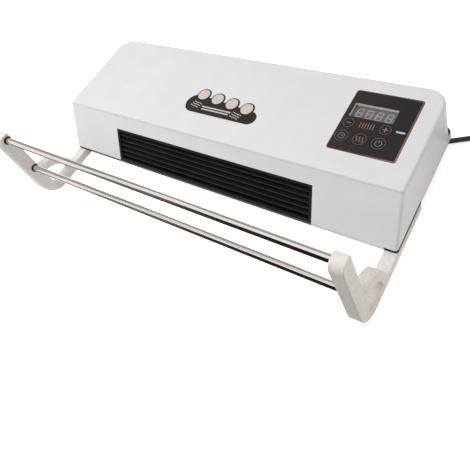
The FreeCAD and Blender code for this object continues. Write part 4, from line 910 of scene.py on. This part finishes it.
# Each rib rises, runs level, and falls into a groove: share of the pitch, change of scale.
RIB_STEPS = ((0.2, 0.0), (0.6, 0.0), (0.75, -0.14), (1.0, -0.1))
relief = bmesh.new()
bmesh.ops.create_circle(relief, cap_ends=True, segments=RELIEF_SIDES,
                        radius=CORD_DIAMETER / 2.0 + RELIEF_WALL)
rib_pitch = (PLUG_RELIEF - RELIEF_START) / RELIEF_RIBS
relief_stations = []
for index in range(RELIEF_RIBS):
    for along, change in RIB_STEPS:
        relief_stations.append((RELIEF_START + (index + along) * rib_pitch,
                                FIRST_RIB + RIB_GROWTH * index + change))
draw_along(relief, relief_stations)
print("relief ribs:", RELIEF_RIBS)

# %% Plug moulding
PLUG_WIDTH = 15.0
PLUG_CORNER = 4.0
PLUG_NECK = 0.84
GRIP_FULL = 1.19
GRIP_GROOVE = 1.12
GRIP_PLACES = (12.0, 17.0)
neck_stations = [(1.2, 1.08), (3.0, GRIP_FULL)]
end_stations = [(28.4, GRIP_FULL), (29.5, 1.16), (30.0, 1.1)]
plug_height = 2.0 * lead_end.z
body = bar(PLUG_WIDTH, plug_height, PLUG_CORNER)
bmesh.ops.scale(body, vec=(PLUG_NECK, PLUG_NECK, 1.0), verts=body.verts)
grip_stations = []
for start in GRIP_PLACES:
    grip_stations += [(start, GRIP_FULL), (start + 1.0, GRIP_GROOVE),
                      (start + 2.0, GRIP_GROOVE), (start + 3.0, GRIP_FULL)]
draw_along(body, neck_stations + grip_stations + end_stations)
bmesh.ops.translate(body, verts=body.verts, vec=(0.0, 0.0, PLUG_RELIEF))
plug = bmesh.new()
for part in (relief, body):
    stamp(plug, part, 0.0, 0.0)
side_way = Vector((0.0, 0.0, 1.0)).cross(way_out).normalized()
up_way = way_out.cross(side_way)
plug_turn = Matrix((side_way, up_way, way_out)).transposed().to_4x4()
bmesh.ops.transform(plug, matrix=Matrix.Translation(lead_end) @ plug_turn, verts=plug.verts)
plug_moulding = settle("plug_moulding", plug, cord_sheath, "heater", smooth=True)
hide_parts("plug_body")
print("plug", PLUG_WIDTH, "mm wide")

# %% [markdown]

# %% [markdown]
# ## Stage
# The photograph has a white background with a faint shadow. More light could make the floor white, but
# it would wash out the housing too. So the floor glows and the world turns fully white only for rays
# from the camera, from gloss or through glass, and the light that falls on the heater stays soft.

# %% Floor and world
FLOOR_GLOW = 0.72
FLOOR_SIZE = 30.0
FLOOR_DROP = 0.0004
WORLD_LIGHT = 0.5
WHITE = linear("#FFFFFF")


def seen_directly(tree):
    """One for rays from the camera, from gloss or through glass, else zero."""
    ray = add(tree, "ShaderNodeLightPath")
    first = add(tree, "ShaderNodeMath", {
        0: ray.outputs["Is Camera Ray"], 1: ray.outputs["Is Glossy Ray"]}, operation="MAXIMUM")
    both = add(tree, "ShaderNodeMath", {
        0: first.outputs["Value"], 1: ray.outputs["Is Transmission Ray"]}, operation="MAXIMUM")
    return both.outputs["Value"]


def stage_sheet(name, width, depth, place, material):
    """A flat sheet of the studio, which is not part of the object."""
    shape = bmesh.new()
    bmesh.ops.create_grid(shape, x_segments=1, y_segments=1, size=0.5)
    bmesh.ops.scale(shape, vec=(width, depth, 1.0), verts=shape.verts)
    bmesh.ops.transform(shape, matrix=place, verts=shape.verts)
    mesh = bpy.data.meshes.new(name)
    shape.to_mesh(mesh)
    shape.free()
    mesh.materials.append(material)
    sheet = bpy.data.objects.new(name, mesh)
    bpy.context.collection.objects.link(sheet)
    return sheet


# Matt white paint shows a soft shadow and otherwise melts into the background.
floor_paint, tree = blank_material("white_studio_floor")
paint = add(tree, "ShaderNodeBsdfDiffuse", {"Color": linear("#F2F2F2")})
glow = add(tree, "ShaderNodeMath", {0: seen_directly(tree), 1: FLOOR_GLOW}, operation="MULTIPLY")
lift = add(tree, "ShaderNodeEmission", {"Color": WHITE, "Strength": glow.outputs["Value"]})
both = add(tree, "ShaderNodeAddShader", {0: paint.outputs["BSDF"], 1: lift.outputs["Emission"]})
add(tree, "ShaderNodeOutputMaterial", {"Surface": both.outputs["Shader"]})
# The floor lies a hair below the heater, so that their faces don't meet.
floor_place = Matrix.Translation((0.0, 0.0, -FLOOR_DROP))
stage_sheet("studio_floor", FLOOR_SIZE, FLOOR_SIZE, floor_place, floor_paint)

world = bpy.data.worlds.new("pale_studio")
bpy.context.scene.world = world
world.use_nodes = True
tree = world.node_tree
tree.nodes.clear()
strength = add(tree, "ShaderNodeMapRange", {
    "Value": seen_directly(tree), "To Min": WORLD_LIGHT, "To Max": 1.0})
sky = add(tree, "ShaderNodeBackground", {"Color": WHITE, "Strength": strength.outputs["Result"]})
add(tree, "ShaderNodeOutputWorld", {"Surface": sky.outputs["Background"]})
print("world light", WORLD_LIGHT)

# %% [markdown]
# Polished rods mirror the studio, so a photographer sets cards round them. Black ones in front draw the
# dark line on the rods' lower side, a dim and a grey one let it fade to the left, and pale ones behind
# and at the left draw the grey line on the upper side. Lines could be painted on the rods, but they
# would stay put when the view moves, and cards give real reflections. The camera doesn't see the cards.
# The upright ones in front and the small one below the right hook take light from what faces them.

# %% Cards round the rods
FACING_X = Matrix.Rotation(math.radians(90.0), 4, "Z") @ UPRIGHT
LYING = Matrix.Identity(4)


def card_finish(name, code):
    """A matt card of one colour."""
    finish, tree = blank_material(name)
    felt = add(tree, "ShaderNodeBsdfDiffuse", {"Color": linear(code)})
    add(tree, "ShaderNodeOutputMaterial", {"Surface": felt.outputs["BSDF"]})
    return finish


def card(name, size, middle, turn, finish, takes_fill=False, in_gloss=True):
    """A card hidden from the camera that takes fill light, shows in gloss, or does both."""
    sheet = stage_sheet(name, size[0], size[1], Matrix.Translation(middle) @ turn, finish)
    sheet.visible_camera = False
    sheet.visible_shadow = False
    sheet.visible_diffuse = takes_fill
    sheet.visible_glossy = in_gloss


# Four matt felts, from nearly black to pale, set how dark each line in the steel looks.
black_card = card_finish("black_studio_card", "#2A2623")
dim_card = card_finish("dim_studio_card", "#757069")
grey_card = card_finish("grey_studio_card", "#88827C")
pale_card = card_finish("pale_studio_card", "#BFBCB8")
card("front_card", size=(1.75, 1.0), middle=(0.325, -0.95, 0.5), turn=UPRIGHT, finish=black_card,
     takes_fill=True)
card("front_left_card", size=(0.35, 1.0), middle=(-0.725, -0.95, 0.5), turn=UPRIGHT, finish=dim_card,
     takes_fill=True)
card("front_floor_card", size=(1.3, 0.7), middle=(0.45, -0.6, 0.001), turn=LYING, finish=black_card)
card("left_floor_card", size=(1.2, 0.7), middle=(-0.8, -0.6, 0.001), turn=LYING, finish=grey_card)
card("left_card", size=(1.3, 1.3), middle=(-1.3, 0.45, 0.65), turn=FACING_X, finish=pale_card)
card("back_card", size=(2.6, 2.0), middle=(-0.1, 1.1, 1.0), turn=UPRIGHT, finish=pale_card)
card("hook_card", size=(0.12, 0.09), middle=(0.27, -0.28, 0.002), turn=LYING, finish=black_card,
     takes_fill=True, in_gloss=False)
print("materials in all:", len(bpy.data.materials))

# %% [markdown]
# The light in the photograph is soft and comes from the front left and above. Sun lamps would give hard
# shadows, so it is one wide softbox, and a weak warm one at the right lifts the shaded end. Neither
# shows in gloss, so no bright square lies on the panel.

# %% Softboxes


def softbox(name, size, watts, colour, place, aim):
    """A square area lamp at a place, turned to an aim."""
    lamp = bpy.data.lights.new(name, "AREA")
    lamp.shape = "SQUARE"
    lamp.color = linear(colour)[:3]
    lamp.size = size
    lamp.energy = watts
    holder = bpy.data.objects.new(name, lamp)
    turn = (Vector(place) - Vector(aim)).to_track_quat("Z", "Y").to_matrix().to_4x4()
    holder.matrix_world = Matrix.Translation(place) @ turn
    holder.visible_glossy = False
    bpy.context.collection.objects.link(holder)


softbox("overhead_softbox", size=1.3, watts=15.0, colour="#FFFFFF",
        place=(-0.5, -0.58, 1.25), aim=(0.0, -0.08, 0.05))
softbox("right_softbox", size=0.8, watts=1.0, colour="#FFDFBC",
        place=(1.2, -0.1, 0.55), aim=(0.25, -0.1, 0.05))
bpy.context.scene.view_settings.view_transform = "Standard"
print("lamps:", len(bpy.data.lights))
